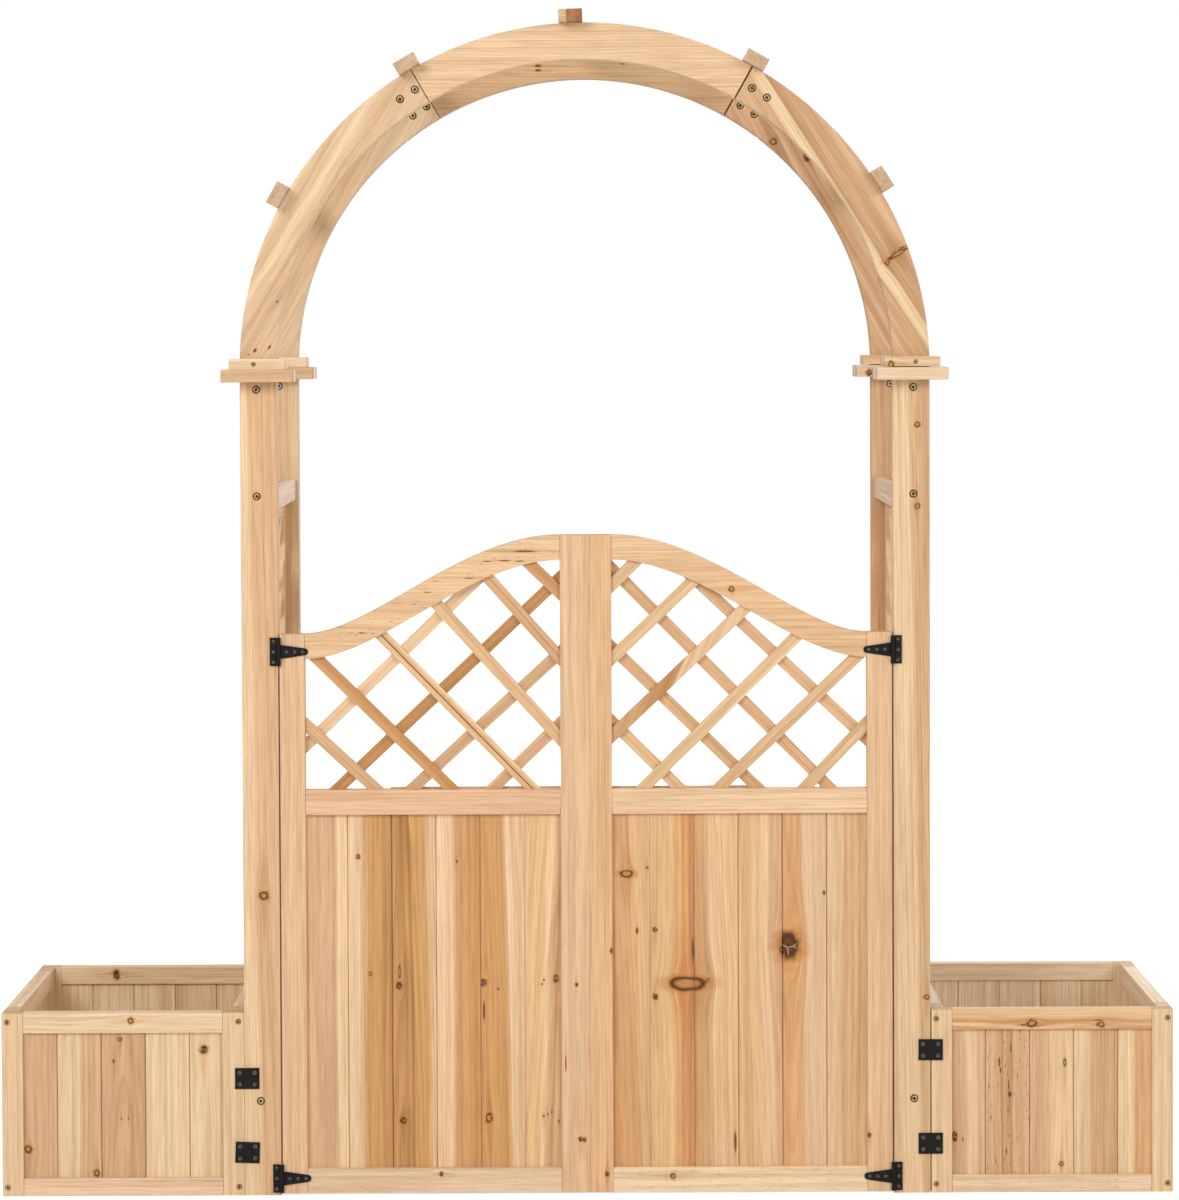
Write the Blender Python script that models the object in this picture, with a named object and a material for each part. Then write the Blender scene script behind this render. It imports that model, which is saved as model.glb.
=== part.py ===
"""Garden arbor of softwood with two round arches, trellis sides, a double gate
with lattice tops and a planter box on each side.

Frame: metres, X to the right, Y to the back, Z up. The origin is on the ground
in the middle of the footprint, and the gate closes flush with the front posts,
which face -Y. "Left" and "right" are as seen from the front.
"""

import math

import bmesh
import bpy
from mathutils import Vector

# Play left between two pieces that touch
FIT = 0.0003

# Four posts: two frames of two posts, one behind the other
WALKWAY_WIDTH = 1.0626
POST_WIDTH = 0.063
POST_DEPTH = 0.038
FRAME_DEPTH = 0.488

# Round arches, each sawn from three segments with half-lap joints
SPRING_HEIGHT = 1.432
POST_LAP = 0.049
JOINT_ANGLE = math.radians(30.0)
JOINT_LAP = math.radians(8.0)
ARC_STEP = math.radians(2.5)

# Rafters nailed across both arches, by their angle from the crown
RAFTER_WIDTH = 0.041
RAFTER_THICKNESS = 0.021
RAFTER_OVERHANG = 0.030
RAFTER_ANGLES = [math.radians(angle) for angle in (-60.3, -30.1, -2.1, 29.3, 57.8)]

# Stepped collar round the top of each post
COLLAR_LOWER_OVERHANG = 0.030
COLLAR_LOWER_HEIGHT = 0.0215
COLLAR_UPPER_OVERHANG = 0.017
COLLAR_UPPER_HEIGHT = 0.0185

# Sides: one cross rail and one trellis panel between a front and a back post.
# Drops are below the spring line
CROSS_RAIL_INSET = 0.005
CROSS_RAIL_THICKNESS = 0.018
CROSS_RAIL_HEIGHT = 0.038
CROSS_RAIL_DROP = 0.245
TRELLIS_THICKNESS = 0.018
TRELLIS_DROP = 0.229
TRELLIS_BOTTOM = 0.143
TRELLIS_RAIL = 0.043
TRELLIS_STILE = 0.030
TRELLIS_SLAT_THICKNESS = 0.007

# Lattices: slats in two layers that bite into each other, at 45 degrees. The
# pitch is along a rail
SLAT_WIDTH = 0.0205
SLAT_PITCH = 0.135
LAYER_BITE = 0.0005

# Gate leaves
GATE_THICKNESS = 0.028
GATE_LIFT = 0.0035
HINGE_GAP = 0.0027
MEETING_GAP = 0.003
STILE_WIDTH = 0.043
RAIL_WIDTH = 0.043
MEETING_STILE_TOP = 1.1447
HINGE_STILE_TOP = 0.9748
MIDDLE_RAIL_TOP = 0.7044
CREST_HANDLE = 0.170
FOOT_HANDLE = 0.111
RAIL_CURVE_STEPS = 28
GROOVE_DEPTH = 0.008
TENON_HEIGHT = 0.025
GATE_SLAT_THICKNESS = 0.008
FRONT_SLAT_START = 0.0975
REAR_SLAT_START = 0.1626

# Boards that fill the gates and the planters
BOARD_THICKNESS = 0.012
BOARD_FACE = 0.0765
SEAM_WIDTH = 0.0024
SEAM_DEPTH = 0.0016

# Strap hinges: a leaf on the post, a tapering strap on the gate
HINGE_PLATE = 0.002
BARREL_RADIUS = 0.0037
PIN_RADIUS = 0.002
AXIS_STANDOFF = 0.004
LEAF_HEIGHT = 0.049
LEAF_REACH = 0.0155
STRAP_LENGTH = 0.0505
STRAP_ROOT = 0.0230
STRAP_TIP = 0.0120
UPPER_HINGE_DROP = 0.030
LOWER_HINGE_RISE = 0.0265
BARREL_SIDES = 20
TIP_STEPS = 8

# Planter boxes
PLANTER_WIDTH = 0.4205
PLANTER_DEPTH = 0.470
PLANTER_HEIGHT = 0.319
PANEL_THICKNESS = 0.025
PANEL_STILE = 0.037
PANEL_TOP_RAIL = 0.036
PANEL_BOTTOM_RAIL = 0.031
TONGUE = 0.005
FLOOR_THICKNESS = 0.012
FLOOR_SLATS = 5
FLOOR_GAP = 0.006
BATTEN_WIDTH = 0.030
BATTEN_HEIGHT = 0.018
BATTEN_SPACING = 0.235

# Flat plates that tie each planter to its post: heights and tilts as fixed
PLATE_WIDTH = 0.042
PLATE_HEIGHT = 0.0364
PLATE_THICKNESS = 0.002
PLATE_HOLE_RADIUS = 0.0022
PLATE_HOLE_INSET = 0.008
PLATE_HOLE_SIDES = 12
PLATE_UPPER = {"left": 0.2045, "right": 0.2498}
PLATE_LOWER = {"left": 0.0756, "right": 0.0867}
PLATE_SHIFT = {"left": 0.005, "right": 0.0}
PLATE_TILT = {"left": math.radians(2.0), "right": 0.0}

# Places worked out from the sizes above
SIDES = {"left": -1, "right": 1}
FRONT = -FRAME_DEPTH / 2
BACK = FRAME_DEPTH / 2
INNER_RADIUS = WALKWAY_WIDTH / 2
OUTER_RADIUS = INNER_RADIUS + POST_WIDTH
SEAT_RADIUS = OUTER_RADIUS + FIT
CROSS_RAIL_BOTTOM = SPRING_HEIGHT - CROSS_RAIL_DROP
TRELLIS_TOP = SPRING_HEIGHT - TRELLIS_DROP
HINGE_X = INNER_RADIUS - HINGE_GAP / 2
HINGE_Y = FRONT - FIT - AXIS_STANDOFF
LEAF_FAR = INNER_RADIUS - HINGE_GAP
LEAF_NEAR = MEETING_GAP / 2
OPENING_FAR = LEAF_FAR - STILE_WIDTH
OPENING_NEAR = LEAF_NEAR + STILE_WIDTH
GATE_BACK = FRONT + GATE_THICKNESS
GATE_MIDDLE = FRONT + GATE_THICKNESS / 2
PLANTER_NEAR = OUTER_RADIUS + FIT
PLANTER_FAR = PLANTER_NEAR + PLANTER_WIDTH
PLANTER_BACK = FRONT + PLANTER_DEPTH

# Finishes: colour, roughness and metallic value
POST_WOOD = ((0.72, 0.49, 0.29), 0.62, 0.0)
ARCH_WOOD = ((0.70, 0.46, 0.26), 0.62, 0.0)
RAFTER_WOOD = ((0.55, 0.37, 0.22), 0.70, 0.0)
TRIM_WOOD = ((0.78, 0.56, 0.36), 0.62, 0.0)
RAIL_WOOD = ((0.75, 0.51, 0.31), 0.62, 0.0)
SLAT_WOOD = ((0.68, 0.43, 0.23), 0.65, 0.0)
BOARD_WOOD = ((0.74, 0.47, 0.25), 0.62, 0.0)
BLACK_STEEL = ((0.012, 0.012, 0.013), 0.45, 0.6)


def clear_scene():
    for old in list(bpy.data.objects):
        bpy.data.objects.remove(old, do_unlink=True)


def new_collection(name):
    made = bpy.data.collections.new(name)
    bpy.context.scene.collection.children.link(made)
    return made


def finish(piece, look):
    """Gives a sub-part its own material and files it with the parts."""
    colour, roughness, metallic = look
    skin = bpy.data.materials.new(piece.name)
    skin.use_nodes = True
    shader = skin.node_tree.nodes["Principled BSDF"]
    shader.inputs["Base Color"].default_value = (*colour, 1.0)
    shader.inputs["Roughness"].default_value = roughness
    shader.inputs["Metallic"].default_value = metallic
    skin.diffuse_color = (*colour, 1.0)
    piece.data.materials.clear()
    piece.data.materials.append(skin)
    cutters.objects.unlink(piece)
    parts.objects.link(piece)
    piece.hide_render = False
    piece.display_type = "TEXTURED"
    return piece


def tool(name, mesh, centre, turn=(0.0, 0.0, 0.0)):
    """A solid kept out of the model until it is finished as a part."""
    made = bpy.data.objects.new(name, mesh)
    made.location = centre
    made.rotation_euler = turn
    made.hide_render = True
    made.display_type = "WIRE"
    cutters.objects.link(made)
    return made


def box(name, low, high):
    """A box between two corners, given in any order."""
    low, high = Vector(map(min, low, high)), Vector(map(max, low, high))
    shape = bmesh.new()
    bmesh.ops.create_cube(shape, size=1.0)
    bmesh.ops.scale(shape, vec=high - low, verts=shape.verts)
    mesh = bpy.data.meshes.new(name)
    shape.to_mesh(mesh)
    shape.free()
    return tool(name, mesh, (low + high) / 2)


def rod(name, radius, centre, bottom, top, sides=BARREL_SIDES):
    """An upright cylinder about a point (x, y)."""
    shape = bmesh.new()
    bmesh.ops.create_cone(
        shape, cap_ends=True, segments=sides, radius1=radius, radius2=radius, depth=top - bottom
    )
    mesh = bpy.data.meshes.new(name)
    shape.to_mesh(mesh)
    shape.free()
    return tool(name, mesh, (*centre, (bottom + top) / 2))


def slab(name, outline, depth, centre=(0.0, 0.0, 0.0), turn=(0.0, 0.0, 0.0)):
    """A flat outline drawn as a curve, given its thickness and made a mesh."""
    curve = bpy.data.curves.new(name, "CURVE")
    curve.dimensions = "2D"
    curve.fill_mode = "BOTH"
    curve.extrude = depth / 2
    spline = curve.splines.new("POLY")
    spline.points.add(len(outline) - 1)
    for point, (across, along) in zip(spline.points, outline):
        point.co = (across, along, 0.0, 1.0)
    spline.use_cyclic_u = True
    drawn = bpy.data.objects.new(name + "_outline", curve)
    cutters.objects.link(drawn)
    graph = bpy.context.evaluated_depsgraph_get()
    mesh = bpy.data.meshes.new_from_object(drawn.evaluated_get(graph))
    bpy.data.objects.remove(drawn, do_unlink=True)
    shape = bmesh.new()
    shape.from_mesh(mesh)
    bmesh.ops.remove_doubles(shape, verts=shape.verts, dist=0.00001)
    bmesh.ops.recalc_face_normals(shape, faces=shape.faces)
    shape.to_mesh(mesh)
    shape.free()
    return tool(name, mesh, centre, turn)


# Turns that stand a drawn outline up: facing the front, or facing the side
UPRIGHT = (math.pi / 2, 0.0, 0.0)
SIDEWAYS = (math.pi / 2, 0.0, math.pi / 2)


def combine(piece, operand, operation):
    step = piece.modifiers.new(operand.name, "BOOLEAN")
    step.operation = operation
    step.object = operand
    step.solver = "EXACT"
    return piece


def cut(piece, operand):
    return combine(piece, operand, "DIFFERENCE")


def join(piece, operand):
    return combine(piece, operand, "UNION")


def clip(piece, operand):
    return combine(piece, operand, "INTERSECT")


def frame_front(frame):
    return FRONT if frame == "front" else BACK - POST_DEPTH


def make_post(side, frame):
    """The post's front half runs up to the arch, its back half stops at the lap."""
    name = f"post_{frame}_{side}"
    sign = SIDES[side]
    front = frame_front(frame)
    lap_bottom = SPRING_HEIGHT - POST_LAP
    near, far = sign * INNER_RADIUS, sign * OUTER_RADIUS
    post = box(name, (near, front, 0.0), (far, front + POST_DEPTH, SPRING_HEIGHT - FIT))
    lap = box(
        name + "_lap",
        (near - sign * POST_WIDTH, front + POST_DEPTH / 2 - FIT / 2, lap_bottom),
        (far + sign * POST_WIDTH, front + POST_DEPTH * 2, SPRING_HEIGHT + POST_LAP),
    )
    return finish(cut(post, lap), POST_WOOD)


def ring_outline(start, end, leg=0.0):
    """A stretch of the arch between two angles from the crown. With a leg, it
    runs straight down from the spring line at its start."""
    steps = round(abs(end - start) / ARC_STEP)
    angles = [start + (end - start) * step / steps for step in range(steps + 1)]
    outer = [(OUTER_RADIUS * math.sin(a), OUTER_RADIUS * math.cos(a)) for a in angles]
    inner = [(INNER_RADIUS * math.sin(a), INNER_RADIUS * math.cos(a)) for a in angles]
    if leg:
        outer.insert(0, (outer[0][0], -leg))
        inner.insert(0, (inner[0][0], -leg))
    return outer + inner[::-1]


def radial_box(name, angle, sign, front, back):
    """A cutter on one side of a radial plane through the arch's centre. It lies
    towards larger angles for a sign of 1 and towards smaller ones for -1."""
    reach = OUTER_RADIUS * JOINT_LAP * 3
    low = (0.0, front, INNER_RADIUS - POST_WIDTH)
    high = (sign * reach, back, OUTER_RADIUS + POST_WIDTH)
    cutter = box(name, low, high)
    offset = cutter.location.copy()
    turn = cutter.rotation_euler
    turn.y = angle
    turned = offset.copy()
    turned.rotate(turn)
    cutter.location = turned + Vector((0.0, 0.0, SPRING_HEIGHT))
    return cutter


def arch_slab(name, outline, front):
    centre = (0.0, front + POST_DEPTH / 2, SPRING_HEIGHT)
    return slab(name, outline, POST_DEPTH, centre, UPRIGHT)


def make_arch(frame):
    """Crown and two sides. The crown's tongues lie behind the sides, and each
    side's tongue lies behind the head of its post."""
    front = frame_front(frame)
    middle = front + POST_DEPTH / 2
    clear = POST_DEPTH
    lap_end = JOINT_ANGLE + JOINT_LAP
    joint_play = FIT / OUTER_RADIUS

    crown = arch_slab(f"arch_{frame}_crown", ring_outline(-lap_end, lap_end), front)
    for sign in (-1, 1):
        name = f"{crown.name}_rebate_{'right' if sign > 0 else 'left'}"
        cut(crown, radial_box(name, sign * JOINT_ANGLE, sign, front - clear, middle + FIT / 2))
    finish(crown, ARCH_WOOD)

    for side, sign in SIDES.items():
        start = sign * math.pi / 2
        end = sign * (JOINT_ANGLE + joint_play)
        segment = arch_slab(f"arch_{frame}_{side}", ring_outline(start, end, POST_LAP - FIT), front)
        shoulder = box(
            segment.name + "_shoulder",
            (sign * (INNER_RADIUS - POST_WIDTH), front - clear, SPRING_HEIGHT - POST_LAP * 2),
            (sign * (OUTER_RADIUS + POST_WIDTH), middle + FIT / 2, SPRING_HEIGHT),
        )
        cut(segment, shoulder)
        rebate_angle = sign * (lap_end + joint_play)
        rebate = radial_box(
            segment.name + "_rebate", rebate_angle, -sign, middle - FIT / 2, front + POST_DEPTH + clear
        )
        cut(segment, rebate)
        finish(segment, ARCH_WOOD)


def make_rafter(number, angle):
    """Lies flat on the outer edge of both arches and runs past them."""
    length = FRAME_DEPTH + 2 * RAFTER_OVERHANG
    half = Vector((RAFTER_WIDTH, length, RAFTER_THICKNESS)) / 2
    rafter = box(f"rafter_{number}", -half, half)
    radius = SEAT_RADIUS + RAFTER_THICKNESS / 2
    rafter.location = (radius * math.sin(angle), 0.0, SPRING_HEIGHT + radius * math.cos(angle))
    rafter.rotation_euler.y = angle
    return finish(rafter, RAFTER_WOOD)


def make_collar(side, frame):
    """Two flat rings of trim, one on the other, round the post and the arch's foot."""
    sign = SIDES[side]
    front = frame_front(frame)
    back = front + POST_DEPTH
    lower_bottom = SPRING_HEIGHT - COLLAR_LOWER_HEIGHT
    upper_top = SPRING_HEIGHT + COLLAR_UPPER_HEIGHT
    name = f"collar_{frame}_{side}"

    def ring(label, overhang, bottom, top):
        low = (sign * (INNER_RADIUS - overhang), front - overhang, bottom)
        high = (sign * (OUTER_RADIUS + overhang), back + overhang, top)
        return box(label, low, high)

    collar = ring(name, COLLAR_LOWER_OVERHANG, lower_bottom, SPRING_HEIGHT)
    step = ring(name + "_step", COLLAR_UPPER_OVERHANG, SPRING_HEIGHT - LAYER_BITE, upper_top)
    join(collar, step)
    arch_inner = math.sqrt(INNER_RADIUS**2 - COLLAR_UPPER_HEIGHT**2)
    sleeve = box(
        name + "_sleeve",
        (sign * (arch_inner - FIT), front - FIT, lower_bottom - POST_LAP),
        (sign * (OUTER_RADIUS + FIT), back + FIT, upper_top + POST_LAP),
    )
    return finish(cut(collar, sleeve), TRIM_WOOD)


def slats(name, starts, lean, reach, thickness):
    """A layer of parallel slats in their own plane, each through a point on the
    line z = 0. lean is 1 for slats that rise to the right and -1 to the left."""
    shape = bmesh.new()
    for start in starts:
        made = bmesh.ops.create_cube(shape, size=1.0)["verts"]
        bmesh.ops.scale(shape, vec=(SLAT_WIDTH, reach * 2, thickness), verts=made)
        turn = Vector((lean, 1.0, 0.0)).to_track_quat("Y", "Z").to_matrix()
        bmesh.ops.rotate(shape, matrix=turn, verts=made)
        bmesh.ops.translate(shape, vec=(start, 0.0, 0.0), verts=made)
    mesh = bpy.data.meshes.new(name)
    shape.to_mesh(mesh)
    shape.free()
    return tool(name, mesh, (0.0, 0.0, 0.0))


def make_cross_rail(side):
    sign = SIDES[side]
    inner = INNER_RADIUS + CROSS_RAIL_INSET
    low = (sign * inner, FRONT + POST_DEPTH + FIT, CROSS_RAIL_BOTTOM)
    high = (
        sign * (inner + CROSS_RAIL_THICKNESS),
        BACK - POST_DEPTH - FIT,
        CROSS_RAIL_BOTTOM + CROSS_RAIL_HEIGHT,
    )
    return finish(box(f"cross_rail_{side}", low, high), RAIL_WOOD)


def make_trellis(side):
    """Framed lattice between two posts, against the outer side of the cross rail."""
    sign = SIDES[side]
    name = f"trellis_{side}"
    inner = INNER_RADIUS + CROSS_RAIL_INSET + CROSS_RAIL_THICKNESS + FIT
    outer = inner + TRELLIS_THICKNESS
    half_span = FRAME_DEPTH / 2 - POST_DEPTH - FIT
    frame = box(name, (sign * inner, -half_span, TRELLIS_BOTTOM), (sign * outer, half_span, TRELLIS_TOP))
    half_opening = half_span - TRELLIS_STILE
    sill, head = TRELLIS_BOTTOM + TRELLIS_RAIL, TRELLIS_TOP - TRELLIS_RAIL
    clear = sign * TRELLIS_THICKNESS
    opening = box(
        name + "_opening",
        (sign * inner - clear, -half_opening, sill),
        (sign * outer + clear, half_opening, head),
    )
    cut(frame, opening)
    middle = sign * (inner + outer) / 2
    height = head - sill
    count = math.ceil((height + 2 * half_opening) / SLAT_PITCH)
    shift = (TRELLIS_SLAT_THICKNESS - LAYER_BITE) / 2
    span = slab(
        name + "_span",
        [
            (-half_opening - TONGUE, -TONGUE),
            (half_opening + TONGUE, -TONGUE),
            (half_opening + TONGUE, height + TONGUE),
            (-half_opening - TONGUE, height + TONGUE),
        ],
        TRELLIS_THICKNESS * 2,
        (middle, 0.0, sill),
        SIDEWAYS,
    )
    for label, lean in (("inner", 1), ("outer", -1)):
        first = -half_opening if lean < 0 else half_opening
        starts = [first - lean * SLAT_PITCH * (index + 0.5) for index in range(count)]
        layer = slats(f"{name}_{label}_slats", starts, lean, height * 1.5, TRELLIS_SLAT_THICKNESS)
        layer.rotation_euler = SIDEWAYS
        layer.location = (middle - sign * lean * shift, 0.0, sill)
        clip(layer, span)
        join(frame, layer)
    return finish(frame, SLAT_WOOD)


def board_row(name, width, height, thickness):
    """Upright boards side by side, with a vee at each seam on both faces."""
    seams = math.ceil(width / BOARD_FACE) - 1
    first = -(seams - 1) / 2 * BOARD_FACE
    edge = [(-width / 2, thickness / 2)]
    for seam in range(seams):
        middle = first + seam * BOARD_FACE
        edge.append((middle - SEAM_WIDTH / 2, thickness / 2))
        edge.append((middle, thickness / 2 - SEAM_DEPTH))
        edge.append((middle + SEAM_WIDTH / 2, thickness / 2))
    edge.append((width / 2, thickness / 2))
    other_edge = [(across, -depth) for across, depth in reversed(edge)]
    return slab(name, edge + other_edge, height)


def crest(step):
    """Point and downward normal on the gate's curved top edge, from the meeting
    stile at step 0 to the hinge stile at step 1, for the right-hand leaf."""
    start = Vector((OPENING_NEAR, MEETING_STILE_TOP))
    end = Vector((OPENING_FAR, HINGE_STILE_TOP))
    leave = start + Vector((CREST_HANDLE, 0.0))
    arrive = end - Vector((FOOT_HANDLE, 0.0))
    rest = 1.0 - step
    point = rest**3 * start + 3 * rest**2 * step * leave + 3 * rest * step**2 * arrive + step**3 * end
    slope = (
        3 * rest**2 * (leave - start) + 6 * rest * step * (arrive - leave) + 3 * step**2 * (end - arrive)
    ).normalized()
    return point, Vector((slope.y, -slope.x))


def crest_points(drop):
    """The curved edge, moved square to itself by a distance."""
    made = []
    for index in range(RAIL_CURVE_STEPS + 1):
        point, normal = crest(index / RAIL_CURVE_STEPS)
        made.append(point + normal * drop)
    return made


def hang(piece, pivot):
    piece.parent = pivot
    piece.location = piece.location - pivot.location
    return piece


def gate_piece(piece, pivot, look, operands=()):
    """Files a piece of a leaf and hangs it, with what shapes it, on the hinge line."""
    finish(piece, look)
    for item in (piece, *operands):
        hang(item, pivot)
    return piece


def leaf_box(name, sign, near, far, bottom, top, front=FRONT, back=GATE_BACK):
    return box(name, (sign * near, front, bottom), (sign * far, back, top))


def make_leaf(side, pivot):
    """One gate leaf: grooved frame, boards below the middle rail, lattice above."""
    sign = SIDES[side]
    name = f"gate_{side}"
    groove_front = GATE_MIDDLE - BOARD_THICKNESS / 2 - FIT
    groove_back = GATE_MIDDLE + BOARD_THICKNESS / 2 + FIT
    tongue_front, tongue_back = groove_front + FIT, groove_back - FIT
    bottom = GATE_LIFT
    bottom_rail_top = bottom + RAIL_WIDTH
    middle_rail_bottom = MIDDLE_RAIL_TOP - RAIL_WIDTH
    tongue_reach = GROOVE_DEPTH - FIT

    def groove(label, near, far, low, high):
        return leaf_box(f"{name}_{label}", sign, near, far, low, high, groove_front, groove_back)

    stiles = (
        ("meeting_stile", LEAF_NEAR, OPENING_NEAR, MEETING_STILE_TOP, OPENING_NEAR, -1),
        ("hinge_stile", OPENING_FAR, LEAF_FAR, HINGE_STILE_TOP, OPENING_FAR, 1),
    )
    for label, near, far, top, edge, inward in stiles:
        stile = leaf_box(f"{name}_{label}", sign, near, far, bottom, top)
        depth = edge + inward * GROOVE_DEPTH
        past = edge - inward * STILE_WIDTH
        long_groove = groove(f"{label}_groove", depth, past, bottom - RAIL_WIDTH, MIDDLE_RAIL_TOP + FIT)
        rail_middle = top - RAIL_WIDTH / 2
        mortise = groove(
            f"{label}_mortise",
            depth,
            past,
            rail_middle - TENON_HEIGHT / 2 - FIT,
            rail_middle + TENON_HEIGHT / 2 + FIT,
        )
        cut(cut(stile, long_groove), mortise)
        gate_piece(stile, pivot, RAIL_WOOD, (long_groove, mortise))

    def rail_tongue(label, low, high):
        return leaf_box(
            f"{name}_{label}",
            sign,
            OPENING_NEAR - tongue_reach,
            OPENING_FAR + tongue_reach,
            low,
            high,
            tongue_front,
            tongue_back,
        )

    clear_near, clear_far = OPENING_NEAR + FIT, OPENING_FAR - FIT
    rails = (
        ("bottom_rail", bottom, bottom_rail_top, bottom_rail_top, 1),
        ("middle_rail", middle_rail_bottom, MIDDLE_RAIL_TOP, middle_rail_bottom, -1),
    )
    for label, low, high, edge, towards in rails:
        rail = leaf_box(f"{name}_{label}", sign, clear_near, clear_far, low, high)
        tongue = rail_tongue(f"{label}_tongue", low, high)
        board_groove = groove(
            f"{label}_groove",
            LEAF_NEAR - STILE_WIDTH,
            LEAF_FAR + STILE_WIDTH,
            edge - towards * GROOVE_DEPTH,
            edge + towards * RAIL_WIDTH,
        )
        cut(join(rail, tongue), board_groove)
        gate_piece(rail, pivot, RAIL_WOOD, (tongue, board_groove))

    upper, lower = crest_points(0.0), crest_points(RAIL_WIDTH)
    for edge in (upper, lower):
        edge[0].x, edge[-1].x = clear_near, clear_far
    band = [(sign * point.x, point.y) for point in upper + lower[::-1]]
    rail = slab(f"{name}_top_rail", band, GATE_THICKNESS, (0.0, GATE_MIDDLE, 0.0), UPRIGHT)
    tenons = []
    ends = (
        ("near_tenon", OPENING_NEAR - tongue_reach, OPENING_NEAR + tongue_reach, MEETING_STILE_TOP),
        ("far_tenon", OPENING_FAR - tongue_reach, OPENING_FAR + tongue_reach, HINGE_STILE_TOP),
    )
    for label, near, far, top in ends:
        middle = top - RAIL_WIDTH / 2
        low, high = middle - TENON_HEIGHT / 2, middle + TENON_HEIGHT / 2
        tenon = leaf_box(f"{name}_{label}", sign, near, far, low, high, tongue_front, tongue_back)
        tenons.append(tenon)
        join(rail, tenon)
    gate_piece(rail, pivot, RAIL_WOOD, tenons)

    board_low = bottom_rail_top - tongue_reach
    board_high = middle_rail_bottom + tongue_reach
    width = OPENING_FAR - OPENING_NEAR + 2 * tongue_reach
    boards = board_row(f"{name}_boards", width, board_high - board_low, BOARD_THICKNESS)
    middle_x = sign * (OPENING_NEAR + OPENING_FAR) / 2
    boards.location = (middle_x, GATE_MIDDLE, (board_low + board_high) / 2)
    gate_piece(boards, pivot, BOARD_WOOD)

    make_leaf_lattice(side, pivot)


def make_leaf_lattice(side, pivot):
    """Two layers of slats cut to the opening between the stiles and the rails."""
    sign = SIDES[side]
    name = f"gate_{side}_lattice"
    near, far = OPENING_NEAR + FIT, OPENING_FAR - FIT
    sill = MIDDLE_RAIL_TOP + FIT
    head = [(min(max(point.x, near), far), point.y) for point in crest_points(RAIL_WIDTH + FIT)]
    outline = [(near, sill)] + head + [(far, sill)]
    outline = [(sign * across, up - sill) for across, up in outline]
    centre = (0.0, GATE_MIDDLE, sill)
    opening = slab(name + "_opening", outline, GATE_THICKNESS, centre, UPRIGHT)
    height = MEETING_STILE_TOP - RAIL_WIDTH - sill
    shift = (GATE_SLAT_THICKNESS - LAYER_BITE) / 2
    below = math.ceil(height / SLAT_PITCH)
    across = math.ceil((far - near) / SLAT_PITCH)
    front_starts = [sign * (FRONT_SLAT_START + SLAT_PITCH * index) for index in range(-below, across)]
    rear_starts = [sign * (REAR_SLAT_START + SLAT_PITCH * index) for index in range(across + below - 1)]
    reach = height * 2
    lattice = slats(name, front_starts, sign, reach, GATE_SLAT_THICKNESS)
    rear = slats(name + "_rear_slats", rear_starts, -sign, reach, GATE_SLAT_THICKNESS)
    for layer, offset in ((lattice, -shift), (rear, shift)):
        layer.rotation_euler = UPRIGHT
        layer.location = (0.0, GATE_MIDDLE + offset, sill)
        clip(layer, opening)
    join(lattice, rear)
    gate_piece(lattice, pivot, SLAT_WOOD, (rear, opening))


def make_hinge(side, level, height, pivot):
    """Post leaf with two knuckles and the pin, and a strap with the middle knuckle."""
    sign = SIDES[side]
    name = f"hinge_{side}_{level}"
    axis = (sign * HINGE_X, HINGE_Y)
    plate_front, plate_back = HINGE_Y + AXIS_STANDOFF - HINGE_PLATE, HINGE_Y + AXIS_STANDOFF
    knuckle_top = height + STRAP_ROOT / 2 + FIT
    knuckle_bottom = height - STRAP_ROOT / 2 - FIT
    top, bottom = height + LEAF_HEIGHT / 2, height - LEAF_HEIGHT / 2

    outer_edge = sign * (HINGE_X + LEAF_REACH)
    leaf = box(f"{name}_leaf", (outer_edge, plate_front, bottom), (axis[0], plate_back, top))
    notch_edge = sign * (HINGE_X + BARREL_RADIUS + FIT)
    notch = box(
        f"{name}_notch",
        (notch_edge, plate_front - BARREL_RADIUS, knuckle_bottom),
        (sign * (HINGE_X - LEAF_REACH), plate_back + BARREL_RADIUS, knuckle_top),
    )
    cut(leaf, notch)
    join(leaf, rod(f"{name}_knuckle_top", BARREL_RADIUS, axis, knuckle_top, top))
    join(leaf, rod(f"{name}_knuckle_bottom", BARREL_RADIUS, axis, bottom, knuckle_bottom))
    pin_low, pin_high = knuckle_bottom - PIN_RADIUS, knuckle_top + PIN_RADIUS
    join(leaf, rod(f"{name}_pin", PIN_RADIUS, axis, pin_low, pin_high))
    finish(leaf, BLACK_STEEL)

    tip_radius = STRAP_TIP / 2
    tip_centre = STRAP_LENGTH - tip_radius
    arc = [math.pi / 2 - math.pi * step / TIP_STEPS for step in range(TIP_STEPS + 1)]
    tip = [(tip_centre + tip_radius * math.cos(a), tip_radius * math.sin(a)) for a in arc]
    outline = [(0.0, STRAP_ROOT / 2), (BARREL_RADIUS * 2, STRAP_ROOT / 2)]
    outline += tip + [(BARREL_RADIUS * 2, -STRAP_ROOT / 2), (0.0, -STRAP_ROOT / 2)]
    outline = [(-sign * along, up) for along, up in outline]
    strap_centre = (axis[0], (plate_front + plate_back) / 2, height)
    strap = slab(f"{name}_strap", outline, HINGE_PLATE, strap_centre, UPRIGHT)
    low, high = height - STRAP_ROOT / 2, height + STRAP_ROOT / 2
    knuckle = rod(f"{name}_knuckle", BARREL_RADIUS, axis, low, high)
    bore = rod(f"{name}_bore", PIN_RADIUS + FIT, axis, bottom, top)
    cut(join(strap, knuckle), bore)
    gate_piece(strap, pivot, BLACK_STEEL, (knuckle, bore))


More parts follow.
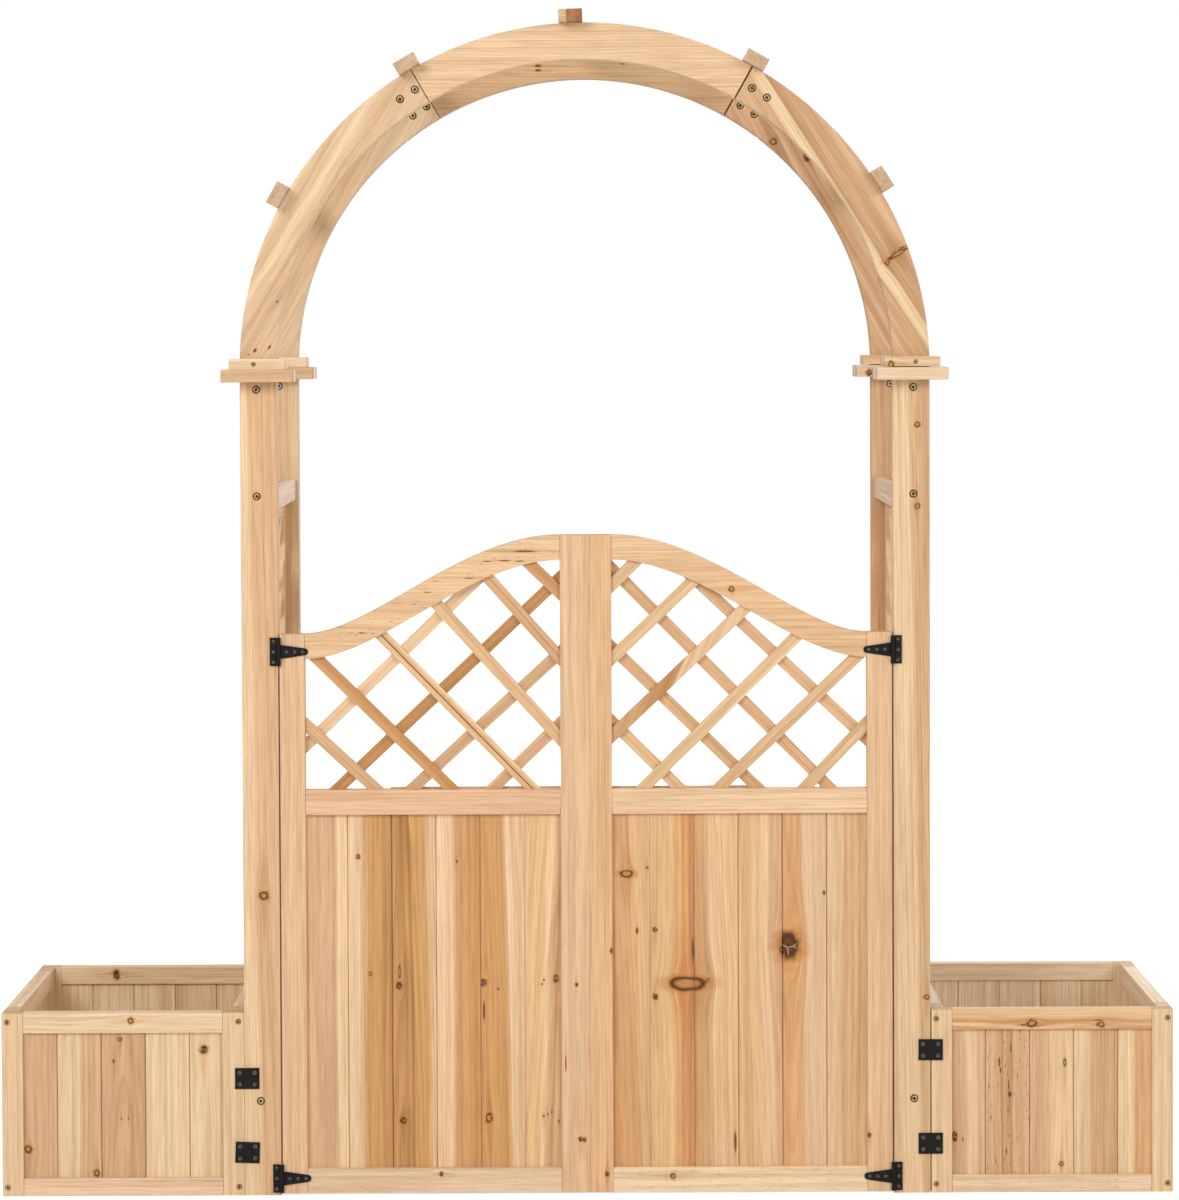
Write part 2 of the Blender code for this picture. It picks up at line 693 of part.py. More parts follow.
def make_gate(side):
    pivot = bpy.data.objects.new(f"gate_{side}_hinge_line", None)
    pivot.location = (SIDES[side] * HINGE_X, HINGE_Y, 0.0)
    parts.objects.link(pivot)
    make_leaf(side, pivot)
    make_hinge(side, "upper", HINGE_STILE_TOP - UPPER_HINGE_DROP, pivot)
    make_hinge(side, "lower", GATE_LIFT + LOWER_HINGE_RISE, pivot)


def make_panel(name, width, centre, turn):
    """A planter wall: a frame of stiles and rails round a row of boards."""
    half = Vector((width, PANEL_THICKNESS, PLANTER_HEIGHT)) / 2
    panel = box(name, -half, half)
    opening_low = PANEL_BOTTOM_RAIL - PLANTER_HEIGHT / 2
    opening_high = PLANTER_HEIGHT / 2 - PANEL_TOP_RAIL
    half_opening = width / 2 - PANEL_STILE
    opening = box(
        name + "_opening",
        (-half_opening, -PANEL_THICKNESS, opening_low),
        (half_opening, PANEL_THICKNESS, opening_high),
    )
    row_height = opening_high - opening_low + 2 * TONGUE
    row = board_row(name + "_boards", 2 * (half_opening + TONGUE), row_height, BOARD_THICKNESS)
    row.location.z = (opening_low + opening_high) / 2
    for operand in (opening, row):
        operand.parent = panel
    panel.location = centre
    panel.rotation_euler.z = turn
    return finish(join(cut(panel, opening), row), BOARD_WOOD)


def make_planter(side):
    """Four panels round a slatted floor. Front and back panels cover the ends of
    the side panels, and the floor rests on their bottom rails."""
    sign = SIDES[side]
    name = f"planter_{side}"
    middle_x = sign * (PLANTER_NEAR + PLANTER_FAR) / 2
    middle_y = (FRONT + PLANTER_BACK) / 2
    middle_z = PLANTER_HEIGHT / 2
    half_panel = PANEL_THICKNESS / 2
    make_panel(f"{name}_front", PLANTER_WIDTH, (middle_x, FRONT + half_panel, middle_z), 0.0)
    make_panel(f"{name}_back", PLANTER_WIDTH, (middle_x, PLANTER_BACK - half_panel, middle_z), 0.0)
    side_width = PLANTER_DEPTH - 2 * PANEL_THICKNESS - 2 * FIT
    quarter = math.pi / 2
    inner_x = sign * (PLANTER_NEAR + half_panel)
    outer_x = sign * (PLANTER_FAR - half_panel)
    make_panel(f"{name}_inner_side", side_width, (inner_x, middle_y, middle_z), quarter)
    make_panel(f"{name}_outer_side", side_width, (outer_x, middle_y, middle_z), quarter)

    recess = (PANEL_THICKNESS - BOARD_THICKNESS) / 2
    half_length = PLANTER_DEPTH / 2 - PANEL_THICKNESS + recess - FIT
    span = PLANTER_WIDTH - 2 * PANEL_STILE - 2 * FIT
    slat_width = (span - (FLOOR_SLATS - 1) * FLOOR_GAP) / FLOOR_SLATS
    seat = PANEL_BOTTOM_RAIL + FIT
    left_edge = middle_x - span / 2
    battens = []
    for label, place in (("front", -1), ("back", 1)):
        batten_y = middle_y + place * BATTEN_SPACING / 2
        battens.append(
            box(
                f"{name}_{label}_batten",
                (left_edge, batten_y - BATTEN_WIDTH / 2, seat - BATTEN_HEIGHT),
                (left_edge + span, batten_y + BATTEN_WIDTH / 2, seat + LAYER_BITE),
            )
        )
    floor = battens.pop()
    floor.name = f"{name}_floor"
    for operand in battens:
        join(floor, operand)
    for index in range(FLOOR_SLATS):
        slat_x = left_edge + index * (slat_width + FLOOR_GAP)
        low = (slat_x, middle_y - half_length, seat)
        high = (slat_x + slat_width, middle_y + half_length, seat + FLOOR_THICKNESS)
        join(floor, box(f"{name}_floor_slat_{index + 1}", low, high))
    finish(floor, BOARD_WOOD)


def make_plate(side, level, height, tilt):
    """A flat plate with four screw holes across the seam of post and planter."""
    sign = SIDES[side]
    name = f"plate_{side}_{level}"
    seam = OUTER_RADIUS + FIT / 2 - PLATE_SHIFT[side]
    half = Vector((PLATE_WIDTH, PLATE_THICKNESS, PLATE_HEIGHT)) / 2
    plate = box(name, -half, half)
    for across in (-1, 1):
        for up in (-1, 1):
            label = f"{name}_hole_{'right' if across > 0 else 'left'}_{'top' if up > 0 else 'bottom'}"
            hole = rod(label, PLATE_HOLE_RADIUS, (0.0, 0.0), -half.x, half.x, PLATE_HOLE_SIDES)
            hole.rotation_euler.x = math.pi / 2
            hole.location = (
                across * (half.x - PLATE_HOLE_INSET),
                0.0,
                up * (half.z - PLATE_HOLE_INSET),
            )
            hole.parent = plate
            cut(plate, hole)
    plate.location = (sign * seam, FRONT - FIT - half.y, height)
    plate.rotation_euler.y = tilt
    return finish(plate, BLACK_STEEL)


clear_scene()
parts = new_collection("trellis_planter_with_gate")
cutters = new_collection("cutters")

for frame in ("front", "back"):
    make_arch(frame)
    for side in SIDES:
        make_post(side, frame)
        make_collar(side, frame)

for number, angle in enumerate(RAFTER_ANGLES, start=1):
    make_rafter(number, angle)

for side in SIDES:
    make_cross_rail(side)
    make_trellis(side)
    make_gate(side)
    make_planter(side)
    make_plate(side, "upper", PLATE_UPPER[side], 0.0)
    make_plate(side, "lower", PLATE_LOWER[side], PLATE_TILT[side])
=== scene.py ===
import math

import bmesh
import bpy
from mathutils import Matrix, Vector


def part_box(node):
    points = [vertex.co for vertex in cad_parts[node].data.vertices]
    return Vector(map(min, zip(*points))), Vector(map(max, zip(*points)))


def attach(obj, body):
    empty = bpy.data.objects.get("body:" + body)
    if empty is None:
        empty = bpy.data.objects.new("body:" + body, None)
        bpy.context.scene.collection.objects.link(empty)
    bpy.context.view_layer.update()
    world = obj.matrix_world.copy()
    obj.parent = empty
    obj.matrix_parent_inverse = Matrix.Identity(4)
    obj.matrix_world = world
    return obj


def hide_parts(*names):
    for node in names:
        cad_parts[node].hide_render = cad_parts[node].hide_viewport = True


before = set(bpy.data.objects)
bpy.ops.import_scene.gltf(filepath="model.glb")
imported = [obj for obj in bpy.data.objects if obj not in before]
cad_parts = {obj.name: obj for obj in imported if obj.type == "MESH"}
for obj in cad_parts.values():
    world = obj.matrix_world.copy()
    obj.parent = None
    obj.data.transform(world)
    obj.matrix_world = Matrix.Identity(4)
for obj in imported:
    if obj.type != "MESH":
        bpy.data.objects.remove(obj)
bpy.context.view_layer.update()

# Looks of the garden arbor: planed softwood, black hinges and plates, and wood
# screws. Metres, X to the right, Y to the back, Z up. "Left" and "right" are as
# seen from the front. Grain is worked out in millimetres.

scene = bpy.context.scene

RIGHT, DEEP, UP = Vector((1, 0, 0)), Vector((0, 1, 0)), Vector((0, 0, 1))
SIDES = {"left": -1, "right": 1}
FRAMES = ("front", "back")
FIT = 0.0003

# Driving sizes, read from the frame
INNER_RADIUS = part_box("post_front_right")[0].x
OUTER_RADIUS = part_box("post_front_right")[1].x
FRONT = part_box("post_front_right")[0].y
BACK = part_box("post_back_right")[1].y
POST_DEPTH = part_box("post_front_right")[1].y - FRONT
SPRING_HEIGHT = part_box("post_front_right")[1].z + FIT
POST_MIDDLE = (INNER_RADIUS + OUTER_RADIUS) / 2
FRAME_FRONT = {"front": FRONT, "back": BACK - POST_DEPTH}

# Half-laps of the arches, and the angle of each joint from the crown
POST_LAP = 0.049
JOINT_LAP = math.radians(8.0)
JOINT_ANGLE = {"left": math.radians(29.9), "right": math.radians(29.2)}
JOINT_GAP = {"left": math.radians(0.13), "right": math.radians(0.26)}
ARC_STEP = math.radians(1.0)

# Gate: its rails, the gap where the leaves meet, and the curve of its top edge
RAIL_WIDTH = 0.043
MEETING_GAP = 0.0002
CREST_HANDLE = 0.170
FOOT_HANDLE = 0.111
CREST_STEPS = 56

# Slats of the gate lattice and of the side trellises. Crossed slats sink a little into
# each other, and all of them end inside the frame round them
SLAT_WIDTH = 0.0205
SLAT_PITCH = 0.135
SLAT_NOTCH = 0.0005
SLAT_TUCK = 0.008
SLAT_THICKNESS = 0.008
FRONT_SLAT_START = 0.0975
REAR_SLAT_START = 0.1626
TRELLIS_SLAT_THICKNESS = 0.007
TRELLIS_RAIL = 0.043
TRELLIS_STILE = 0.030

# Boards, the vee at each seam, and the tongues in the frame round them
BOARD_THICKNESS = 0.012
BOARD_FACE = 0.0765
BOARD_SHIFT = {"left": 0.0043, "right": -0.0026}
SEAM_WIDTH = 0.0024
SEAM_DEPTH = 0.0024
TONGUE = 0.005
GATE_TONGUE = 0.0077

# Planters
PANEL_STILE = 0.037
PANEL_TOP_RAIL = 0.035
BACK_TOP_RAIL = 0.032
PANEL_BOTTOM_RAIL = 0.031

# Rounding of the edges as they leave the planer and the saw, and of bent steel
PLANED_EDGE = 0.0009
SAWN_EDGE = 0.0006
STEEL_EDGE = 0.0003
SAME_POINT = 0.00001

# Radius of the screw heads
FRAME_SCREW = 0.0050
PLANTER_SCREW = 0.0042
HINGE_SCREW = 0.0027
PLATE_SCREW = 0.0034
COLLAR_SCREW = 0.0035


def linear(code):
    """An sRGB hex colour as the linear values that a shader takes."""
    made = []
    for start in (0, 2, 4):
        value = int(code[start : start + 2], 16) / 255
        made.append(value / 12.92 if value <= 0.04045 else ((value + 0.055) / 1.055) ** 2.4)
    return (*made, 1.0)


def fill(tree, sockets, values):
    """Links or fills inputs, given by name or number, or in their order."""
    pairs = values.items() if isinstance(values, dict) else enumerate(values)
    for key, value in pairs:
        if isinstance(value, bpy.types.NodeSocket):
            tree.links.new(value, sockets[key])
        else:
            sockets[key].default_value = value


def add(tree, kind, inputs=(), out=0, **settings):
    """Adds a node, gives it its settings and inputs, and returns one of its outputs. A kind
    such as Math.ADD names the operation too. The setting stops fills a colour ramp: (place,
    colour) or (place, colour, alpha)."""
    kind, *operation = kind.split(".")
    node = tree.nodes.new(kind if kind.startswith("Node") else f"ShaderNode{kind}")
    if operation:
        node.operation = operation[0]
    stops = settings.pop("stops", ())
    for name, value in settings.items():
        setattr(node, name, value)
    for index, (place, code, *alpha) in enumerate(stops):
        band = node.color_ramp.elements
        while len(band) < len(stops):
            band.new(0.5)
        band[index].position = place
        band[index].color = (*linear(code)[:3], *(alpha or [1.0]))
    fill(tree, node.inputs, inputs)
    return node.outputs[out] if node.outputs else None


def new_material(name):
    """A material with its node tree, which starts as one shader and its output."""
    skin = bpy.data.materials.new(name)
    skin.use_nodes = True
    return skin, skin.node_tree


def shade(tree, values):
    """Links or fills the inputs of a material's shader."""
    fill(tree, tree.nodes["Principled BSDF"].inputs, values)


def new_group(name, inputs, outputs):
    """An empty node group with named sockets, its inputs, and its output node."""
    tree = bpy.data.node_groups.new(name, "ShaderNodeTree")
    for direction, sockets in (("INPUT", inputs), ("OUTPUT", outputs)):
        for socket, kind in sockets.items():
            tree.interface.new_socket(socket, in_out=direction, socket_type="NodeSocket" + kind)
    return tree, add(tree, "NodeGroupInput").node.outputs


TINT = dict(out=2, data_type="RGBA", blend_type="MULTIPLY")
SMOOTH = dict(interpolation_type="SMOOTHSTEP")


# A knot, seen on the face it runs through: how far the grain is pushed aside
# round it, how many of its own radii away a point is, and its drying cracks
def knot_group():
    tree, given = new_group(
        "knot", {"Grain": "Vector", "Place": "Vector", "Radius": "Float", "Tall": "Float"},
        {"Shift": "Float", "Ratio": "Float", "Plume": "Float", "Crack": "Float"}
    )
    away = add(tree, "VectorMath.SUBTRACT", (given["Grain"], given["Place"]))
    split = add(tree, "SeparateXYZ", (away,)).node.outputs
    rise = add(tree, "Math.DIVIDE", (split[2], given["Tall"]))
    across = add(tree, "CombineXYZ", {0: split[0], 2: rise})
    reach = add(tree, "VectorMath.LENGTH", (across,), out="Value")
    # Its outline is uneven, with bumps as large as the knot itself
    own = add(tree, "Math.DIVIDE", (1.0, given["Radius"]))
    own = add(tree, "VectorMath.SCALE", {0: given["Grain"], "Scale": own})
    wobble = add(tree, "TexNoise", {"Vector": own, "Scale": 0.9, "Detail": 1.5})
    rough = add(tree, "Math.MULTIPLY_ADD", (wobble, 1.1, 0.45))
    edge = add(tree, "Math.MULTIPLY", (given["Radius"], rough))
    ratio = add(tree, "Math.DIVIDE", (reach, edge))
    # The grain closes up again over about 2.5 times the knot's height
    calm = add(tree, "Math.DIVIDE", (rise, 2.5))
    wide = add(tree, "CombineXYZ", {0: split[0], 2: calm})
    swell = add(tree, "VectorMath.LENGTH", (wide,), out="Value")
    part = add(tree, "Math.DIVIDE", (given["Radius"], swell))
    part = add(tree, "Math.MINIMUM", (part, 1.0))
    part = add(tree, "Math.MULTIPLY", (part, part))
    shift = add(tree, "Math.MULTIPLY", (split[0], part))
    push = add(tree, "Math.MINIMUM", (given["Tall"], 1.0))
    shift = add(tree, "Math.MULTIPLY", (shift, push))
    # A soft brown halo, with a faint trail along the grain
    halo = add(tree, "MapRange", {"Value": ratio, "From Min": 2.0, "From Max": 0.8}, **SMOOTH)
    trail = add(tree, "Math.MULTIPLY", (rise, 0.12))
    near = add(tree, "CombineXYZ", {0: split[0], 2: trail})
    near = add(tree, "VectorMath.LENGTH", (near,), out="Value")
    near = add(tree, "Math.DIVIDE", (near, given["Radius"]))
    trail = add(
        tree, "MapRange", {"Value": near, "From Min": 1.5, "From Max": 0.2, "To Max": 0.45}, **SMOOTH
    )
    plume = add(tree, "Math.MAXIMUM", (halo, trail))
    # Fine pale cracks, a twelfth of the knot's radius wide, so only large knots show them
    cells = add(
        tree, "TexVoronoi", {"Vector": own, "Scale": 0.75}, out="Distance", feature="DISTANCE_TO_EDGE"
    )
    crack = add(tree, "Math.LESS_THAN", (cells, 0.028))
    inside = add(tree, "Math.LESS_THAN", (ratio, 0.75))
    crack = add(tree, "Math.MULTIPLY", (crack, inside))
    outputs = {"Shift": shift, "Ratio": ratio, "Plume": plume, "Crack": crack}
    add(tree, "NodeGroupOutput", outputs)
    return tree


# Planed softwood: pale earlywood with amber latewood lines 4 to 5 mm apart, fine
# fibres, darker end grain, and brown knots with a dark rim
def figure_group():
    tree, given = new_group(
        "softwood_figure",
        {
            "Flow": "Vector", "Tone": "Color", "Knot": "Float", "Pale Knot": "Float", "Plume": "Float",
            "Crack": "Float", "Pith": "Vector", "Lean": "Vector", "Pitch": "Float", "Ring": "Float",
            "Fleck": "Float", "Seed": "Float", "Along": "Vector"
        },
        {"Colour": "Color", "Height": "Float"}
    )
    split = add(tree, "SeparateXYZ", (given["Flow"],)).node.outputs

    def noise(sizes, detail, shift):
        """Noise stretched along the grain: its grain size in millimetres each way."""
        squeeze = tuple(1 / size for size in sizes)
        place = add(tree, "VectorMath.MULTIPLY", (given["Flow"], squeeze))
        seed = add(tree, "Math.ADD", (given["Seed"], shift))
        settings = {"Vector": place, "W": seed, "Scale": 1.0, "Detail": detail}
        return add(tree, "TexNoise", settings, noise_dimensions="4D")

    # Growth rings round a pith that lies off the board and leans through it
    lean = add(tree, "VectorMath.SCALE", {0: given["Lean"], "Scale": split[2]})
    pith = add(tree, "VectorMath.ADD", (given["Pith"], lean))
    away = add(tree, "VectorMath.SUBTRACT", (given["Flow"], pith))
    flat = add(tree, "VectorMath.MULTIPLY", (away, (1.0, 1.0, 0.0)))
    reach = add(tree, "VectorMath.LENGTH", (flat,), out="Value")
    ripple = noise((16, 16, 260), 2.0, 0.0)
    reach = add(tree, "Math.MULTIPLY_ADD", (ripple, 3.0, reach))
    turns = add(tree, "Math.DIVIDE", (reach, given["Pitch"]))
    age = add(tree, "Math.FRACT", (turns,))
    late = add(tree, "MapRange", {"Value": age, "From Min": 0.2, "From Max": 0.9}, **SMOOTH)
    fall = add(tree, "MapRange", {"Value": age, "From Min": 1.0, "From Max": 0.92})
    late = add(tree, "Math.MULTIPLY", (late, fall))
    year = add(tree, "Math.FLOOR", (turns,))
    year = add(tree, "Math.ADD", (year, given["Seed"]))
    chance = add(tree, "TexWhiteNoise", {"W": year}, noise_dimensions="1D")
    chance = add(tree, "MapRange", {"Value": chance, "To Min": 0.25, "To Max": 1.0})
    late = add(tree, "Math.MULTIPLY", (late, chance))
    line = add(tree, "Math.MULTIPLY", (late, given["Ring"]))
    colour = add(tree, "Mix", {0: line, 6: given["Tone"], 7: linear("E8E2D9")}, **TINT)

    # Streaks 8 mm wide and fibres 2 mm wide; real fibres are too fine to show
    for sizes, detail, shift, low, high, code in (
        ((8, 8, 340), 2.0, 11.0, 0.41, 0.65, "EEEBE7"),
        ((2.0, 2.0, 60), 2.0, 23.0, 0.44, 0.70, "EBE8E3")
    ):
        dark = add(
            tree, "MapRange", {"Value": noise(sizes, detail, shift), "From Min": low, "From Max": high}
        )
        colour = add(tree, "Mix", {0: dark, 6: colour, 7: linear(code)}, **TINT)

    # Short brown flecks, 1.8 mm by 15 mm
    fleck = add(
        tree, "MapRange",
        {"Value": noise((1.8, 1.8, 15), 1.0, 37.0), "From Min": 0.66, "From Max": 0.74}
    )
    fleck = add(tree, "Math.MULTIPLY", (fleck, given["Fleck"]))
    colour = add(tree, "Mix", {0: fleck, 6: colour, 7: linear("A9794F")}, **TINT)

    colour = add(tree, "Mix", {0: given["Plume"], 6: colour, 7: linear("E2C6A2")}, **TINT)

    # Knots: a dark heart, or a pale one with a dark outline, and an amber halo that
    # fades into the board
    for given_knot, stops in (
        (
            "Knot",
            (
                (0.0, "3A1E0A", 1.0), (0.10, "5E3817", 0.95), (0.20, "3C200B", 0.95),
                (0.26, "2E1706", 0.9), (0.33, "7A4A1E", 0.5), (0.41, "A8743C", 0.15),
                (0.6, "C4904F", 0.0)
            )
        ),
        (
            "Pale Knot",
            (
                (0.0, "AE7E4C", 0.6), (0.12, "BC8C5A", 0.6), (0.20, "8A5A2A", 0.85),
                (0.26, "4A2C12", 1.0), (0.32, "6A4018", 0.9), (0.38, "B58046", 0.25),
                (0.6, "C4904F", 0.0)
            )
        )
    ):
        ratio = add(tree, "Math.DIVIDE", (given[given_knot], 3.0))
        knot = add(tree, "ValToRGB", {"Fac": ratio}, stops=stops).node.outputs
        colour = add(tree, "Mix", {0: knot[1], 6: colour, 7: knot[0]}, out=2, data_type="RGBA")
    crack = add(tree, "Math.MULTIPLY", (given["Crack"], 0.7))
    colour = add(tree, "Mix", {0: crack, 6: colour, 7: linear("C9AE90")}, out=2, data_type="RGBA")

    # End grain drinks more light than the planed faces
    normal = add(tree, "TexCoord", out="Normal")
    end = add(tree, "VectorMath.DOT_PRODUCT", (normal, given["Along"]), out="Value")
    end = add(tree, "Math.ABSOLUTE", (end,))
    end = add(tree, "MapRange", {"Value": end, "From Min": 0.75, "From Max": 0.95})
    colour = add(tree, "Mix", {0: end, 6: colour, 7: linear("E6DBCE")}, **TINT)
    fibre = noise((1.2, 1.2, 40), 2.0, 41.0)
    height = add(tree, "Math.MULTIPLY_ADD", (late, 0.5, fibre))
    add(tree, "NodeGroupOutput", {"Colour": colour, "Height": height})
    return tree


KNOT = knot_group()
FIGURE = figure_group()


def softwood(
    name, bands, knots=(), along=UP, across=RIGHT, origin=(0, 0, 0), pitch=5.0, pith=(10, 60),
    lean=(0, 0), ring=0.6, fleck=0.0, sway=5.0, slant=0.0, islands=False
):
    """Planed softwood. Bands are (place across the face, colour) and knots are (place across,
    place along, radius, height over width), in millimetres from the origin, with "pale" after
    them where the heart is light. The pith is where the rings' centre lies, across and into
    the board. Lean is how far it moves for each metre along, and slant how far the bands do.
    With islands, each separate board of a piece has its own figure."""
    skin, tree = new_material(name)
    seed = len(bpy.data.materials) * 7.31
    along = Vector(along).normalized()
    across = Vector(across).normalized()
    turn = Matrix((across, along.cross(across), along))
    coordinates = add(tree, "TexCoord", out="Object")
    grain = add(
        tree, "Mapping",
        {
            "Vector": coordinates, "Scale": (1000, 1000, 1000), "Rotation": turn.to_euler(),
            "Location": turn @ Vector(origin) * -1000
        }
    )
    if islands:
        chance = add(tree, "NewGeometry", out="Random Per Island")
        seed = add(tree, "Math.MULTIPLY_ADD", (chance, 97.0, seed))
    squeeze = (1 / 90, 1 / 90, 1 / 420)
    place = add(tree, "VectorMath.MULTIPLY", (grain, squeeze))
    drift = add(
        tree, "TexNoise", {"Vector": place, "W": seed, "Scale": 1.0, "Detail": 1.0},
        noise_dimensions="4D"
    )
    drift = add(tree, "Math.SUBTRACT", (drift, 0.5))
    split = add(tree, "SeparateXYZ", (grain,)).node.outputs
    flow = add(tree, "Math.MULTIPLY_ADD", (drift, sway * 2, split[0]))
    if slant:
        leant = (split[2], -slant / 1000, flow)
        flow = add(tree, "Math.MULTIPLY_ADD", leant)
    nearest = {"dark": 9.0, "pale": 9.0}
    plume = crack = 0.0
    for knot_across, knot_along, radius, tall, *heart in knots:
        knot = add(
            tree, "Group",
            {"Grain": grain, "Place": (knot_across, 0.0, knot_along), "Radius": radius, "Tall": tall},
            node_tree=KNOT
        ).node.outputs
        kind = heart[0] if heart else "dark"
        closest = (nearest[kind], knot["Ratio"])
        nearest[kind] = add(tree, "Math.MINIMUM", closest)
        flow = add(tree, "Math.SUBTRACT", (flow, knot["Shift"]))
        plume = add(tree, "Math.MAXIMUM", (plume, knot["Plume"]))
        if kind == "dark":
            crack = add(tree, "Math.MAXIMUM", (crack, knot["Crack"]))
    reach = max(abs(place) for place, code in bands) or 1.0
    tone_place = flow
    if islands:
        tone_place = add(tree, "Math.MULTIPLY_ADD", (chance, reach * 2, flow))
        tone_place = add(tree, "Math.SUBTRACT", (tone_place, reach))
    tone_place = add(tree, "MapRange", {"Value": tone_place, "From Min": -reach, "From Max": reach})
    stops = [((place + reach) / (2 * reach), code) for place, code in bands]
    tone = add(tree, "ValToRGB", {"Fac": tone_place}, stops=stops)
    flow = add(tree, "CombineXYZ", (flow, split[1], split[2]))
    figure = add(
        tree, "Group",
        {
            "Flow": flow, "Tone": tone, "Knot": nearest["dark"], "Pale Knot": nearest["pale"],
            "Plume": plume, "Crack": crack, "Pith": (*pith, 0.0),
            "Lean": (lean[0] / 1000, lean[1] / 1000, 0.0), "Pitch": pitch, "Ring": ring, "Fleck": fleck,
            "Seed": seed, "Along": along
        },
        node_tree=FIGURE
    ).node.outputs
    bump = add(tree, "Bump", {"Height": figure["Height"], "Distance": 0.00025, "Strength": 0.6})
    shade(tree, {"Base Color": figure["Colour"], "Normal": bump})
    shade(tree, {"Roughness": 0.7, "IOR": 1.5, "Specular IOR Level": 0.25})
    return skin


# Steel under a matt black powder coat: a faint orange-peel texture 0.8 mm across
# breaks its highlights
def powder_coat():
    skin, tree = new_material("black_powder_coated_steel")
    coordinates = add(tree, "TexCoord", out="Object")
    peel = add(tree, "TexNoise", {"Vector": coordinates, "Scale": 1 / 0.0008, "Detail": 1.0})
    rub = add(tree, "TexNoise", {"Vector": coordinates, "Scale": 1 / 0.012, "Detail": 3.0})
    stops = ((0.3, "131211"), (0.62, "181715"), (0.75, "24221F"))
    tone = add(tree, "ValToRGB", {"Fac": rub}, stops=stops)
    bump = add(tree, "Bump", {"Height": peel, "Distance": 0.00006, "Strength": 0.7})
    shade(tree, {"Base Color": tone, "Normal": bump})
    shade(tree, {"Roughness": 0.55, "IOR": 1.5, "Specular IOR Level": 0.12})
    return skin


def spotted(tree, size, stops):
    """Two tones in soft spots of a size, and the noise behind them."""
    coordinates = add(tree, "TexCoord", out="Object")
    spots = add(tree, "TexNoise", {"Vector": coordinates, "Scale": 1 / size, "Detail": 2.0})
    return add(tree, "ValToRGB", {"Fac": spots}, stops=stops), spots


# Plated steel screws: tiny turning marks and a little dirt give a soft glint
def plated_steel(name, light, dull):
    skin, tree = new_material(name)
    tone, wear = spotted(tree, 0.003, ((0.4, light), (0.65, dull)))
    rough = add(tree, "MapRange", {"Value": wear, "To Min": 0.25, "To Max": 0.5})
    shade(tree, {"Base Color": tone, "Roughness": rough, "Metallic": 1.0})
    return skin


# Painted shade: the dark of a cross recess and of the ring round a sunk head
def shadowed_recess():
    skin, tree = new_material("shadowed_recess")
    tone = spotted(tree, 0.002, ((0.3, "150D06"), (0.7, "2C1D0F")))[0]
    shade(tree, {"Base Color": tone, "Roughness": 0.8})
    return skin


BLACK_STEEL = powder_coat()
YELLOW_ZINC = plated_steel("yellow_zinc_plated_screw", "CDB484", "86693A")
BLUE_ZINC = plated_steel("bright_zinc_plated_screw", "D5D3CE", "98948C")
# Yellow zinc painted browner, as painted shade on heads sunk into the trim and the planters
SUNK_ZINC_PAINTED_SHADE = plated_steel("sunk_yellow_zinc_screw_painted_shade", "CFA476", "9C744A")
BLACK_ZINC = plated_steel("blackened_zinc_screw", "77746C", "45433D")
RECESS = shadowed_recess()


def lapped_bar(shape, stations, depths, filled=None):
    """Adds a bar drawn as pairs of edge points (x, z), split in layers between the depths.
    filled names its (station, layer) cells of wood, so a half-lap is a cell left out."""
    if filled is None:
        filled = [(station, 0) for station in range(len(stations) - 1)]
    walls = {}
    for s, d in filled:
        for wall in (
            ((s, 0, d), (s, 1, d), (s + 1, 1, d), (s + 1, 0, d)),
            ((s, 0, d + 1), (s, 1, d + 1), (s + 1, 1, d + 1), (s + 1, 0, d + 1)),
            ((s, 0, d), (s, 0, d + 1), (s + 1, 0, d + 1), (s + 1, 0, d)),
            ((s, 1, d), (s, 1, d + 1), (s + 1, 1, d + 1), (s + 1, 1, d)),
            ((s, 0, d), (s, 1, d), (s, 1, d + 1), (s, 0, d + 1)),
            ((s + 1, 0, d), (s + 1, 1, d), (s + 1, 1, d + 1), (s + 1, 0, d + 1))
        ):
            key = frozenset(wall)
            if key in walls:
                del walls[key]
            else:
                walls[key] = wall
    corners = {}
    faces = []
    for wall in walls.values():
        for s, edge, d in wall:
            if (s, edge, d) not in corners:
                x, z = stations[s][edge]
                corners[s, edge, d] = shape.verts.new((x, depths[d], z))
        faces.append(shape.faces.new([corners[key] for key in wall]))
    bmesh.ops.recalc_face_normals(shape, faces=faces)
    return list(corners.values())


def plank(shape, low, high):
    """Adds a plank between two corners, given in any order."""
    low, high = Vector(map(min, low, high)), Vector(map(max, low, high))
    stations = [((low.x, low.z), (high.x, low.z)), ((low.x, high.z), (high.x, high.z))]
    return lapped_bar(shape, stations, (low.y, high.y))


def board(shape, left, right, front, bottom, top, thickness=BOARD_THICKNESS):
    """Adds an upright board with its long edges chamfered, so that a row shows a vee at
    each seam."""
    bevel = SEAM_WIDTH / 2
    back = front + thickness
    outline = (
        (left, front + SEAM_DEPTH), (left + bevel, front), (right - bevel, front),
        (right, front + SEAM_DEPTH), (right, back - SEAM_DEPTH), (right - bevel, back),
        (left + bevel, back), (left, back - SEAM_DEPTH)
    )
    rings = [[shape.verts.new((x, y, z)) for x, y in outline] for z in (bottom, top)]
    faces = [shape.faces.new(ring) for ring in rings]
    for index in range(len(outline)):
        after = (index + 1) % len(outline)
        faces.append(
            shape.faces.new((rings[0][index], rings[0][after], rings[1][after], rings[1][index]))
        )
    bmesh.ops.recalc_face_normals(shape, faces=faces)
    return rings[0] + rings[1]


def round_edges(made, width, angle=31.0, harden=True):
    step = made.modifiers.new("edges", "BEVEL")
    step.width = width
    step.segments = 2
    step.limit_method = "ANGLE"
    step.angle_limit = math.radians(angle)
    step.harden_normals = harden


